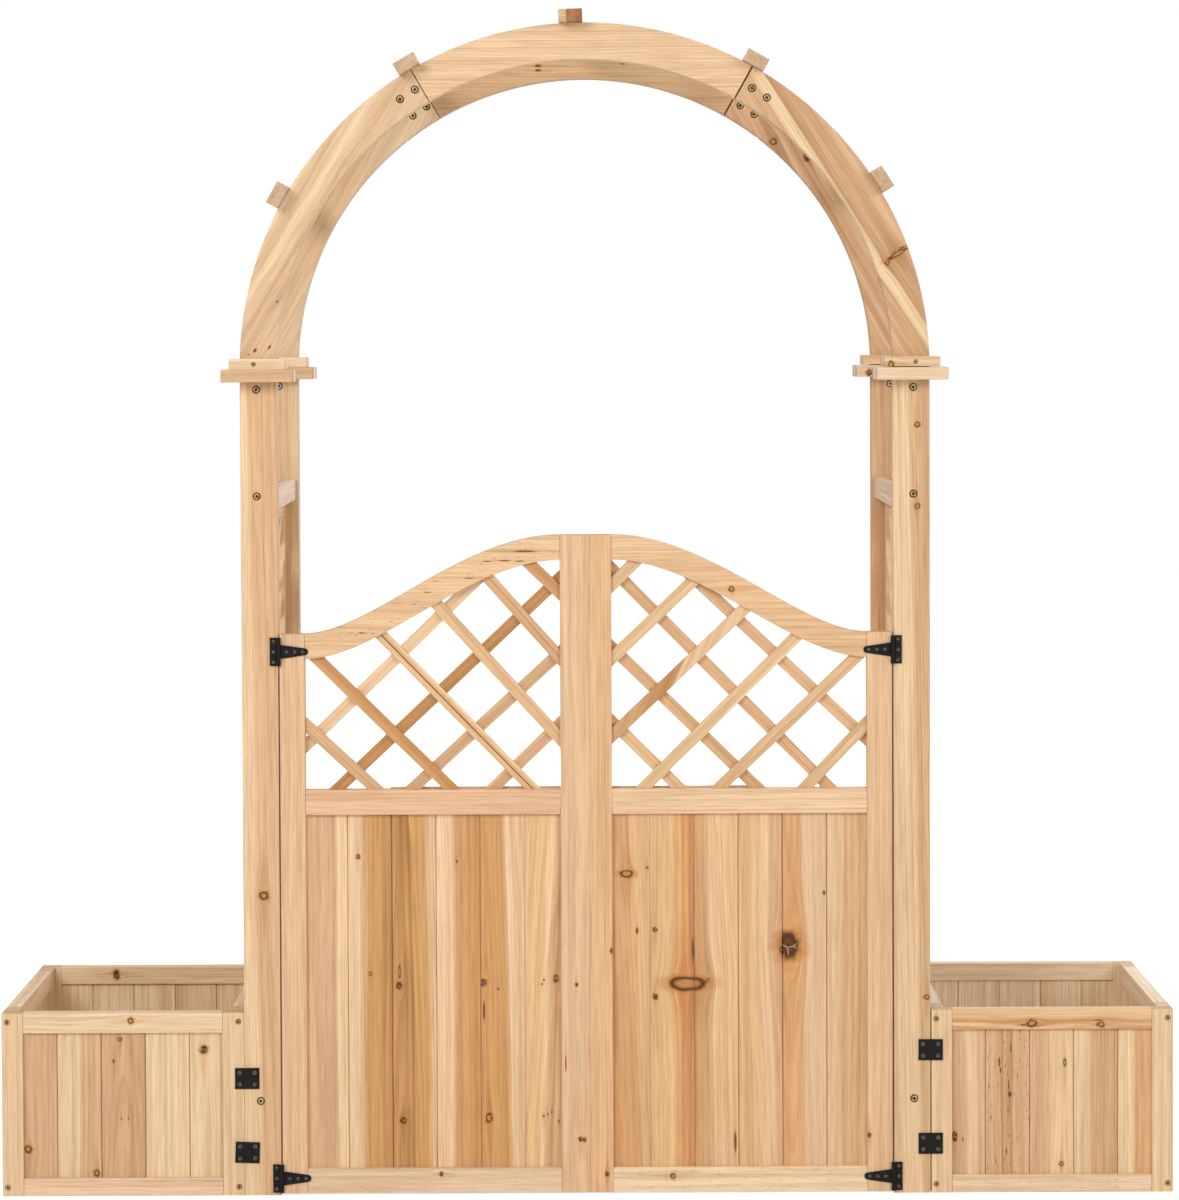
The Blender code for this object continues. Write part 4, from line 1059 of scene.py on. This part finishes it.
# The thin strip on the middle rail, behind the lattice
STRIP_DEPTH = 0.005
STRIP_RISE = 0.0024
STRIP_END = {"left": 0.340, "right": 0.305}
for side, sign in SIDES.items():
    body = f"gate_{side}"
    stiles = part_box(f"gate_{side}_meeting_stile"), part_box(f"gate_{side}_hinge_stile")
    edges = sorted(abs(corner.x) for stile in stiles for corner in stile)
    opening_near, opening_far = edges[1], edges[2]
    near, far = opening_near + FIT, opening_far - FIT
    gate_back = stiles[0][1].y
    for label in ("hinge_stile", "meeting_stile", "bottom_rail", "middle_rail"):
        node = f"gate_{side}_{label}"
        low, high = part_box(node)
        flat = label.endswith("rail")
        if flat:
            low.x, high.x = sign * near, sign * far
        if label == "meeting_stile":
            low.x, high.x = sorted((sign * MEETING_GAP / 2, sign * max(abs(low.x), abs(high.x))))
        middle = (low + high) / 2
        wood(
            f"{side}_gate_{label}", [(low, high)], node, "rail_wood", body, along=RIGHT if flat else UP,
            across=-UP if flat else RIGHT, origin=(middle.x, FRONT, middle.z if flat else 0),
            **GATE_FRAME_LOOKS[node]
        )

    upper = crest_edge(side, 0.0, near, far)
    lower = crest_edge(side, RAIL_WIDTH, near, far)
    shape = bmesh.new()
    lapped_bar(shape, list(zip(lower, upper)), (FRONT, gate_back))
    node = f"gate_{side}_top_rail"
    middle = (upper[0] + upper[-1]) / 2
    wood(
        f"{side}_gate_curved_top_rail", shape, node, "rail_wood", body, along=RIGHT, across=-UP,
        origin=(middle.x, FRONT, middle.y), **GATE_FRAME_LOOKS[node]
    )

    node = f"gate_{side}_boards"
    low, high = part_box(node)
    middle = (low.x + high.x) / 2
    seams = [middle + BOARD_FACE * (index - 2) + BOARD_SHIFT[side] for index in range(5)]
    lines = [low.x] + seams + [high.x]
    for index, look in enumerate(GATE_BOARDS[side]):
        left, right = lines[index] + FIT / 2, lines[index + 1] - FIT / 2
        shown = max(left, low.x + GATE_TONGUE), min(right, high.x - GATE_TONGUE)
        shape = bmesh.new()
        board(shape, left, right, (low.y + high.y - BOARD_THICKNESS) / 2, low.z, high.z)
        wood(
            f"{side}_gate_board_{index + 1}", shape, node, "board_wood", body, 0,
            origin=(sum(shown) / 2, low.y, 0), **look
        )

    # Lattice: each slat is cut by an opening that reaches a little into the rails
    node = f"gate_{side}_lattice"
    low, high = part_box(node)
    sill = low.z - FIT
    head = crest_edge(side, RAIL_WIDTH - SLAT_TUCK, opening_near - SLAT_TUCK, opening_far + SLAT_TUCK)
    stations = [((point.x, sill - SLAT_TUCK), point) for point in head]
    shape = bmesh.new()
    lapped_bar(shape, stations, (low.y - SLAT_TUCK, high.y + SLAT_TUCK))
    opening = plain_object("opening", shape)
    half = Vector((SLAT_WIDTH, SLAT_THICKNESS, (high.z - sill) * 4)) / 2
    middle = (low.y + high.y) / 2
    shift = (SLAT_THICKNESS - SLAT_NOTCH) / 2
    layers = (("front", sign, -shift, FRONT_SLAT_START), ("rear", -sign, shift, REAR_SLAT_START))
    for label, lean, offset, start in layers:
        for count, (index, slat_look) in enumerate(LATTICE[side, label].items(), start=1):
            off, angle, tones = slat_look
            x = sign * (start + SLAT_PITCH * index) + off / 1000
            turn = Matrix.Rotation(lean * math.radians(angle), 4, "Y")
            shape = bmesh.new()
            plank(shape, -half, half)
            shape.transform(Matrix.Translation((x, middle + offset, sill)) @ turn)
            slat = plain_object("slat", shape)
            step = slat.modifiers.new("opening", "BOOLEAN")
            step.operation = "INTERSECT"
            step.object = opening
            step.solver = "EXACT"
            depsgraph = bpy.context.evaluated_depsgraph_get()
            cut_mesh = bpy.data.meshes.new_from_object(slat.evaluated_get(depsgraph))
            bpy.data.objects.remove(slat)
            if not cut_mesh.vertices:
                continue
            shape = bmesh.new()
            shape.from_mesh(cut_mesh)
            wood(
                f"{side}_gate_{label}_slat_{count}", shape, node, "slat_wood", body, SAWN_EDGE,
                bands=tones, along=turn.to_3x3() @ UP, across=turn.to_3x3() @ RIGHT,
                origin=(x, middle, sill), pitch=4.0, pith=(count * 5 - 20, 30), sway=1.0,
                slant=-400 if (side, label, index) == SPLIT_SLAT else 0
            )
    bpy.data.objects.remove(opening)

    rail_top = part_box(f"gate_{side}_middle_rail")[1].z
    strip = (
        (sign * near, gate_back - STRIP_DEPTH, rail_top + FIT),
        (sign * STRIP_END[side], gate_back, rail_top + FIT + STRIP_RISE)
    )
    wood(
        f"{side}_gate_lattice_strip", [strip], node, "slat_wood", body, 0,
        bands=[(-10, "DDBE9C"), (10, "E3C4A2")], along=RIGHT, across=-UP,
        origin=(0, gate_back, rail_top)
    )


# Planters: a front panel board by board, the other panels by kind of piece
PLANTER_BOARDS = {
    "left": [
        dict(
            bands=[(-29, "D4AC84"), (30, "D7AE86")], knots=[(-22, 81, 6.2, 1.1, "pale")], pith=(-20, 40)
        ),
        dict(
            bands=[
                (-38, "E7C8A2"), (0, "E5C6A0"), (8, "D3AB80"), (12, "DDB88E"), (20, "CFA67A"),
                (28, "DDB68C"), (38, "D9B188")
            ],
            knots=[(29, 39, 5.2, 1.1, "pale")], pith=(50, 40)
        ),
        dict(
            bands=[
                (-38, "D9B18A"), (-20, "D3AA80"), (0, "D9B18A"), (12, "CCA278"), (22, "D6AC84"),
                (38, "CFA57A")
            ],
            knots=[
                (-6, 272, 3.4, 1.0, "pale"), (-17, 234, 1.6, 2.2), (8, 134, 1.0, 2.0),
                (-4, 134, 1.0, 2.0)
            ],
            pith=(0, 30), lean=(0, 40)
        ),
        dict(bands=[(-38, "EBCCA5"), (0, "EDCFA9"), (38, "E9C89E")], pith=(40, 70)),
        dict(bands=[(-26, "E9CBA3"), (30, "E5C49B")], knots=[(-4, 253, 6.4, 1.1)], pith=(-10, 40))
    ],
    "right": [
        dict(
            bands=[
                (-30, "D6AF87"), (-9, "D6AF87"), (-2, "E5C39E"), (9, "E5C39E"), (17, "D8B189"),
                (30, "D8B189")
            ],
            knots=[(-24, 97, 4.6, 1.8), (-10, 93, 0.9, 2), (-10, 90, 0.9, 2)], pith=(0, 50)
        ),
        dict(
            bands=[
                (-38, "D9B289"), (-12, "D4AB80"), (-8, "B98A5C"), (-5, "DCB48A"), (3, "D2A67A"),
                (8, "BE9064"), (12, "DAB28A"), (38, "DCB68E")
            ],
            knots=[
                (4, 170, 2.6, 1.8), (-14, 226, 1.5, 5), (-12, 212, 1.2, 4), (6, 252, 1.0, 8),
                (2, 186, 1.0, 8), (-2, 70, 1.1, 5)
            ],
            fleck=1.6, pith=(10, 60)
        ),
        dict(
            bands=[(-38, "DBB38B"), (-7, "DBB38B"), (0, "EBC89F"), (38, "E9C59C")],
            knots=[(23, 225, 2.6, 2.6, "pale"), (17, 48, 3.6, 1.2, "pale")], pith=(60, 50), lean=(30, 0)
        ),
        dict(bands=[(-38, "E8C79F"), (-12, "E8C79F"), (-3, "D3A97D"), (38, "D6AD83")], pith=(-50, 50)),
        dict(bands=[(-30, "EBCCA3"), (-9, "EBCCA3"), (0, "DCAD7B"), (30, "DEB07F")], pith=(50, 60))
    ]
}
PLANTER_RAILS = {
    ("left", "top"): dict(bands=[(-18, "EFD1AC"), (18, "EDCFAA")], knots=[(-4, 14, 5.0, 1.0, "pale")]),
    ("left", "bottom"): dict(bands=[(-16, "E8C6A6"), (16, "E8C6A6")]),
    ("right", "top"): dict(
        bands=[
            (-18, "EEC698"), (-4, "E8BE90"), (4, "D2A06E"), (8, "EAC092"), (14, "CE9C6A"),
            (18, "E8BE90")
        ],
        knots=[
            (7, -35, 6.0, 1.5, "pale"), (9, -48, 1.2, 5), (9, 85, 5.5, 1.1, "pale"), (2, 80, 1.0, 8)
        ],
        ring=1.0, sway=9.0
    ),
    ("right", "bottom"): dict(bands=[(-16, "EACBAA"), (16, "E8C9A8")], fleck=0.8)
}
# The inner stile of the right planter stands a little off the post
PLANTER_GAP = {"left": 0.0, "right": 0.0014}
# A knot in the top rail of a back wall
RAIL_KNOTS = {"planter_left_back": [(-305.1, -69.9, 8.5, 0.75)]}
# Tones of the walls behind the front ones: stiles, rails, boards. They are painted paler than the wood,
# as painted light on walls that lie in shade, and the right planter's are painted paler still
WALL_TONES_PAINTED_LIGHT = {
    "left": (
        [(-40, "F2D6B4"), (0, "E6C49E"), (40, "F0D4B0")], [(-30, "F4D8B6"), (30, "EED0AC")],
        [(-40, "F6DCBA"), (-20, "E6C49E"), (0, "FAE2C0"), (18, "DDB890"), (40, "F2D6B2")]
    ),
    "right": (
        [(-40, "FBE4C6"), (0, "F2D4B0"), (40, "FAE2C0")], [(-30, "FBE4C6"), (30, "F6DCBC")],
        [(-40, "FDE8CA"), (-20, "F2D4B0"), (0, "FEECCE"), (18, "E8C49E"), (40, "FBE2C2")]
    )
}


def panel(node, side, turned, looks=None, tones=(), top_rail=PANEL_TOP_RAIL):
    """The pieces of one planter wall: two stiles, two rails and a row of boards. A turned
    wall runs from front to back. Looks are for single boards, and tones for the stiles,
    rails and boards of a wall without looks."""
    low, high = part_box(node)
    name = node.replace(f"planter_{side}", f"{side}_planter")
    axis = 1 if turned else 0
    start, end = low[axis], high[axis]
    across_low, across_high = low[1 - axis], high[1 - axis]
    along_wall = DEEP if turned else RIGHT
    middle = (start + end) / 2
    opening_low, opening_high = PANEL_BOTTOM_RAIL, high.z - top_rail
    near_ends = {"left": start, "right": end - PANEL_STILE}
    heights = {"bottom": (0.0, opening_low), "top": (opening_high, high.z)}

    def corner(place, depth, z):
        return (depth, place, z) if turned else (place, depth, z)

    def stile(near, gap=0.0):
        return corner(near + gap, across_low, 0), corner(near + PANEL_STILE, across_high, high.z)

    def rail(bottom, top):
        left, right = start + PANEL_STILE + FIT, end - PANEL_STILE - FIT
        return corner(left, across_low, bottom), corner(right, across_high, top)

    origin = corner(middle, across_low, 0)
    if looks:
        for label, near in near_ends.items():
            gap = PLANTER_GAP[side] if label == "left" else 0.0
            wood(
                f"{name}_{label}_stile", [stile(near, gap)], node, "rail_wood",
                bands=[(-18, "E8C8A0"), (18, "E4C29A")],
                origin=corner(near + PANEL_STILE / 2, across_low, 0)
            )
        for label, (bottom, top) in heights.items():
            wood(
                f"{name}_{label}_rail", [rail(bottom, top)], node, "rail_wood", along=along_wall,
                across=-UP, origin=corner(middle, across_low, (bottom + top) / 2),
                **PLANTER_RAILS[side, label]
            )
    else:
        wood(
            f"{name}_stiles", [stile(near) for near in near_ends.values()], node, "rail_wood",
            bands=tones[0], across=along_wall, origin=origin, islands=True
        )
        wood(
            f"{name}_rails", [rail(*ends) for ends in heights.values()], node, "rail_wood",
            bands=tones[1], knots=RAIL_KNOTS.get(node, ()), along=along_wall, across=-UP, origin=origin,
            islands=True
        )

    half = (end - start) / 2 - PANEL_STILE + TONGUE
    seams = math.ceil(2 * half / BOARD_FACE) - 1
    lines = [middle - half]
    lines += [middle + BOARD_FACE * (index - (seams - 1) / 2) for index in range(seams)]
    lines.append(middle + half)
    depth = (across_low + across_high - BOARD_THICKNESS) / 2
    shape = bmesh.new()
    for index in range(seams + 1):
        left, right = lines[index] + FIT / 2, lines[index + 1] - FIT / 2
        made = board(shape, left, right, depth, opening_low - TONGUE, opening_high + TONGUE)
        if turned:
            swap = Matrix(((0, 1, 0, 0), (1, 0, 0, 0), (0, 0, 1, 0), (0, 0, 0, 1)))
            bmesh.ops.transform(shape, matrix=swap, verts=made)
        if looks:
            shown = max(left, middle - half + TONGUE), min(right, middle + half - TONGUE)
            wood(
                f"{name}_board_{index + 1}", shape, node, "board_wood", edge=0,
                origin=(sum(shown) / 2, depth, 0), **looks[index]
            )
            shape = bmesh.new()
    if turned:
        bmesh.ops.recalc_face_normals(shape, faces=shape.faces)
    if not looks:
        wood(
            f"{name}_boards", shape, node, "board_wood", edge=0, bands=tones[2], across=along_wall,
            origin=origin, islands=True
        )


FLOOR_SLATS = 5
FLOOR_GAP = 0.006
FLOOR_THICKNESS = 0.012
BATTEN_WIDTH = 0.030
BATTEN_SPACING = 0.235
for side, sign in SIDES.items():
    panel(f"planter_{side}_front", side, False, PLANTER_BOARDS[side])
    panel(f"planter_{side}_back", side, False, tones=WALL_TONES_PAINTED_LIGHT[side], top_rail=BACK_TOP_RAIL)
    panel(f"planter_{side}_inner_side", side, True, tones=WALL_TONES_PAINTED_LIGHT[side])
    panel(f"planter_{side}_outer_side", side, True, tones=WALL_TONES_PAINTED_LIGHT[side])
    node = f"planter_{side}_floor"
    low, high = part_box(node)
    slat_width = (high.x - low.x - (FLOOR_SLATS - 1) * FLOOR_GAP) / FLOOR_SLATS
    seat = high.z - FLOOR_THICKNESS
    lefts = [low.x + index * (slat_width + FLOOR_GAP) for index in range(FLOOR_SLATS)]
    slats = [((left, low.y, seat), (left + slat_width, high.y, high.z)) for left in lefts]
    wood(
        f"{side}_planter_floor_slats", slats, node, "board_wood", bands=WARM, along=DEEP, origin=low,
        islands=True
    )
    middles = [(low.y + high.y) / 2 + place * BATTEN_SPACING / 2 for place in (-1, 1)]
    battens = [
        ((low.x, middle - BATTEN_WIDTH / 2, low.z), (high.x, middle + BATTEN_WIDTH / 2, seat))
        for middle in middles
    ]
    wood(
        f"{side}_planter_floor_battens", battens, node, "board_wood", bands=PALE, along=RIGHT,
        across=DEEP, origin=low, islands=True
    )


# Hinges and plates: the CAD shapes, their edges a little rounded
for node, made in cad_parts.items():
    if node.startswith(("hinge_", "plate_")):
        made.data.materials.clear()
        made.data.materials.append(BLACK_STEEL)
        made.modifiers.new("weld", "WELD").merge_threshold = SAME_POINT
        round_edges(made, STEEL_EDGE, 40.0, False)


# Parts of a screw head, over its radius
HEAD_SIDES = 28
HEAD_FOOT = 0.2
HEAD_DOME = 0.10
HEAD_CROWN = 0.93
CROSS_ARM = 0.27
CROSS_REACH = 0.62
# The ring of painted shade round it: its width over the radius, and its place in the surface
WOOD_RING, TRIM_RING, STEEL_RING = 0.4, 0.2, 0.1
RING_RISE = 0.00012
RING_SINK = 0.0003


def screw_head(shape, centre, radius, ring, turn):
    """Adds a flat head with a sunk cross, seen from the front, and the ring of painted shade round it.
    """
    dome = radius * HEAD_DOME
    arm, reach = radius * CROSS_ARM, radius * CROSS_REACH
    cross = [
        (arm, arm), (reach, arm), (reach, -arm), (arm, -arm), (arm, -reach), (-arm, -reach),
        (-arm, -arm), (-reach, -arm), (-reach, arm), (-arm, arm), (-arm, reach), (arm, reach)
    ]
    turns = [2 * math.pi * step / HEAD_SIDES for step in range(HEAD_SIDES)]
    rim = [(radius * math.cos(angle), radius * math.sin(angle)) for angle in turns]
    made = []

    def loop(points, size, depth):
        corners = [shape.verts.new((x * size, depth, z * size)) for x, z in points]
        made.extend(corners)
        return corners

    def wall(first, second, index):
        for step in range(len(first)):
            after = (step + 1) % len(first)
            face = shape.faces.new((first[step], first[after], second[after], second[step]))
            face.material_index = index

    foot = loop(rim, 1.0, radius * HEAD_FOOT)
    crown = loop(rim, HEAD_CROWN, -dome)
    lip = loop(cross, 1.0, -dome * 1.2)
    bottom = loop(cross, 0.9, -dome * 0.3)
    wall(foot, crown, 0)
    wall(lip, bottom, 1)
    shape.faces.new(bottom).material_index = 1
    edges = []
    for ringed in (crown, lip):
        for step in range(len(ringed)):
            edges.append(shape.edges.get((ringed[step], ringed[(step + 1) % len(ringed)])))
    bmesh.ops.triangle_fill(shape, use_beauty=True, edges=edges)
    inner = loop(rim, 1.0, -RING_RISE)
    outer = loop(rim, 1 + ring, -RING_RISE)
    sunk = loop(rim, 1 + ring, RING_SINK)
    wall(inner, outer, 1)
    wall(outer, sunk, 1)
    place = Matrix.Translation(centre) @ Matrix.Rotation(turn, 4, "Y")
    bmesh.ops.transform(shape, matrix=place, verts=made)


def screws(name, centres, radius, metal, ring=WOOD_RING, body="arbor"):
    """A group of heads that sit in one surface. Each is turned a little further."""
    shape = bmesh.new()
    for count, centre in enumerate(centres):
        screw_head(shape, centre, radius, ring, 0.3 + count * 0.77)
    bmesh.ops.recalc_face_normals(shape, faces=shape.faces)
    piece(name, shape, [metal, RECESS], body, (), 0)


POST_SCREWS = (0.165, 1.2135, 1.3975)
POST_SCREW_PLACE = 0.0033
JOINT_SCREW_RADIUS = 0.561
JOINT_SCREWS = [math.radians(angle) for angle in (31.1, 34.2)]
COLLAR_SCREW_PLACE = 0.006
for place in FRAMES:
    front = FRAME_FRONT[place] - FIT
    metal = YELLOW_ZINC if place == "front" else BLUE_ZINC
    for side, sign in SIDES.items():
        x = sign * (POST_MIDDLE + POST_SCREW_PLACE)
        centres = [(x, front, z) for z in POST_SCREWS]
        screws(f"{place}_{side}_post_screws", centres, FRAME_SCREW, metal)
        points = [on_arch(sign * angle, JOINT_SCREW_RADIUS) for angle in JOINT_SCREWS]
        centres = [(x, front, z) for x, z in points]
        screws(f"{place}_{side}_arch_screws", centres, FRAME_SCREW, YELLOW_ZINC)
        overhang, bottom, top = COLLAR_LAYERS["upper"]
        x = sign * (POST_MIDDLE + COLLAR_SCREW_PLACE)
        centre = (x, front - overhang, (bottom + top) / 2)
        screws(f"{place}_{side}_collar_screw", [centre], COLLAR_SCREW, SUNK_ZINC_PAINTED_SHADE, TRIM_RING)

PLANTER_SCREW_INSET = 0.0098
PLANTER_SCREW_HEIGHTS = (0.0155, 0.3035)
# Hinge screws, counted from the pin's axis and from the middle of the leaf
HINGE_AXIS_INSET = 0.0037
HINGE_LEAF_INSET = 0.0092
HINGE_LEAF_STEP = 0.018
HINGE_THICKNESS = 0.002
STRAP_SCREWS = (0.0135, 0.0275, 0.0415)
# Half the width and height of a plate
PLATE_REACH = 0.021
PLATE_RISE = 0.0182
PLATE_HOLE_INSET = 0.008
for side, sign in SIDES.items():
    low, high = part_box(f"planter_{side}_front")
    places = (low.x + PLANTER_SCREW_INSET, high.x - PLANTER_SCREW_INSET)
    centres = [(x, low.y - FIT, z) for x in places for z in PLANTER_SCREW_HEIGHTS]
    screws(f"{side}_planter_screws", centres, PLANTER_SCREW, SUNK_ZINC_PAINTED_SHADE, TRIM_RING)
    for level in ("upper", "lower"):
        low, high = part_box(f"hinge_{side}_{level}_leaf")
        axis = sign * min(abs(low.x), abs(high.x)) + sign * HINGE_AXIS_INSET
        height = (low.z + high.z) / 2
        surface = high.y - HINGE_THICKNESS
        name = f"{side}_{level}_hinge"
        x = axis + sign * HINGE_LEAF_INSET
        centres = [(x, surface, height + HINGE_LEAF_STEP * step) for step in (-1, 0, 1)]
        screws(f"{name}_leaf_screws", centres, HINGE_SCREW, BLACK_ZINC, STEEL_RING)
        centres = [(axis - sign * place, surface, height) for place in STRAP_SCREWS]
        screws(f"{name}_strap_screws", centres, HINGE_SCREW, BLACK_ZINC, STEEL_RING, f"gate_{side}")
        low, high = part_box(f"plate_{side}_{level}")
        middle = (low + high) / 2
        reach, rise = PLATE_REACH - PLATE_HOLE_INSET, PLATE_RISE - PLATE_HOLE_INSET
        centres = [
            (middle.x + across * reach, low.y, middle.z + up * rise)
            for across in (-1, 1)
            for up in (-1, 1)
        ]
        screws(f"{side}_{level}_plate_screws", centres, PLATE_SCREW, BLACK_ZINC, STEEL_RING)


def seen_directly(tree):
    """1 where the camera or a gloss looks straight at it, else 0."""
    path = add(tree, "LightPath").node.outputs
    seen = add(tree, "Math.MAXIMUM", (path["Is Camera Ray"], path["Is Glossy Ray"]))
    return add(tree, "Math.MAXIMUM", (seen, path["Is Transmission Ray"]))


WHITE = (1.0, 1.0, 1.0, 1.0)

# Floor: pale, lit by the lamps so that the object's shadow stays, and lifted to
# white for the camera
FLOOR_LIFT = 0.64
FLOOR_SIZE = 30.0
skin, tree = new_material("pale_studio_floor")
lift = add(tree, "Math.MULTIPLY", (seen_directly(tree), FLOOR_LIFT))
shade(tree, {"Base Color": linear("EDEDED"), "Roughness": 0.9})
shade(tree, {"Emission Color": WHITE, "Emission Strength": lift})
shape = bmesh.new()
bmesh.ops.create_grid(shape, x_segments=1, y_segments=1, size=FLOOR_SIZE / 2)
floor = plain_object("floor", shape)
floor.data.materials.append(skin)

# World: soft light from all round, and white where the camera or a gloss sees it
AMBIENT = 0.50
world = bpy.data.worlds.new("studio")
scene.world = world
world.use_nodes = True
tree = world.node_tree
strength = add(tree, "MapRange", {"Value": seen_directly(tree), "To Min": AMBIENT, "To Max": 1.0})
fill(tree, tree.nodes["Background"].inputs, {"Color": WHITE, "Strength": strength})

LAMP_AIM = Vector((0, 0, 0.9))
LAMP_SIZE = 3.0


def lamp(name, place, power):
    """A large soft lamp that looks at the object."""
    light = bpy.data.lights.new(name, "AREA")
    light.shape = "DISK"
    light.size = LAMP_SIZE
    light.energy = power
    made = bpy.data.objects.new(name, light)
    scene.collection.objects.link(made)
    made.location = place
    made.rotation_euler = (LAMP_AIM - Vector(place)).to_track_quat("-Z", "Y").to_euler()


lamp("key", (-3.2, -5.5, 4.2), 219.0)
lamp("fill", (3.6, -5.0, 2.6), 107.0)
lamp("rear", (1.2, 5.8, 2.4), 130.0)

# Camera, matched to the photograph
CAMERA_PLACE = (0.0, -6.264, 1.4846)
CAMERA_PITCH = math.radians(1.6)
CAMERA_ROLL = math.radians(0.24)
CAMERA_LENS = 104.82
CAMERA_SENSOR = 36.0
CAMERA_SHIFT = (0.0039, -0.1372)
view = bpy.data.cameras.new("camera")
view.lens = CAMERA_LENS
view.sensor_width = CAMERA_SENSOR
view.shift_x, view.shift_y = CAMERA_SHIFT
view.clip_start = 0.1
view.clip_end = 60.0
camera = bpy.data.objects.new("camera", view)
scene.collection.objects.link(camera)
tilt = Matrix.Rotation(math.pi / 2 - CAMERA_PITCH, 4, "X")
roll = Matrix.Rotation(-CAMERA_ROLL, 4, "Z")
camera.matrix_world = Matrix.Translation(CAMERA_PLACE) @ tilt @ roll
scene.camera = camera
scene.view_settings.view_transform = "Standard"
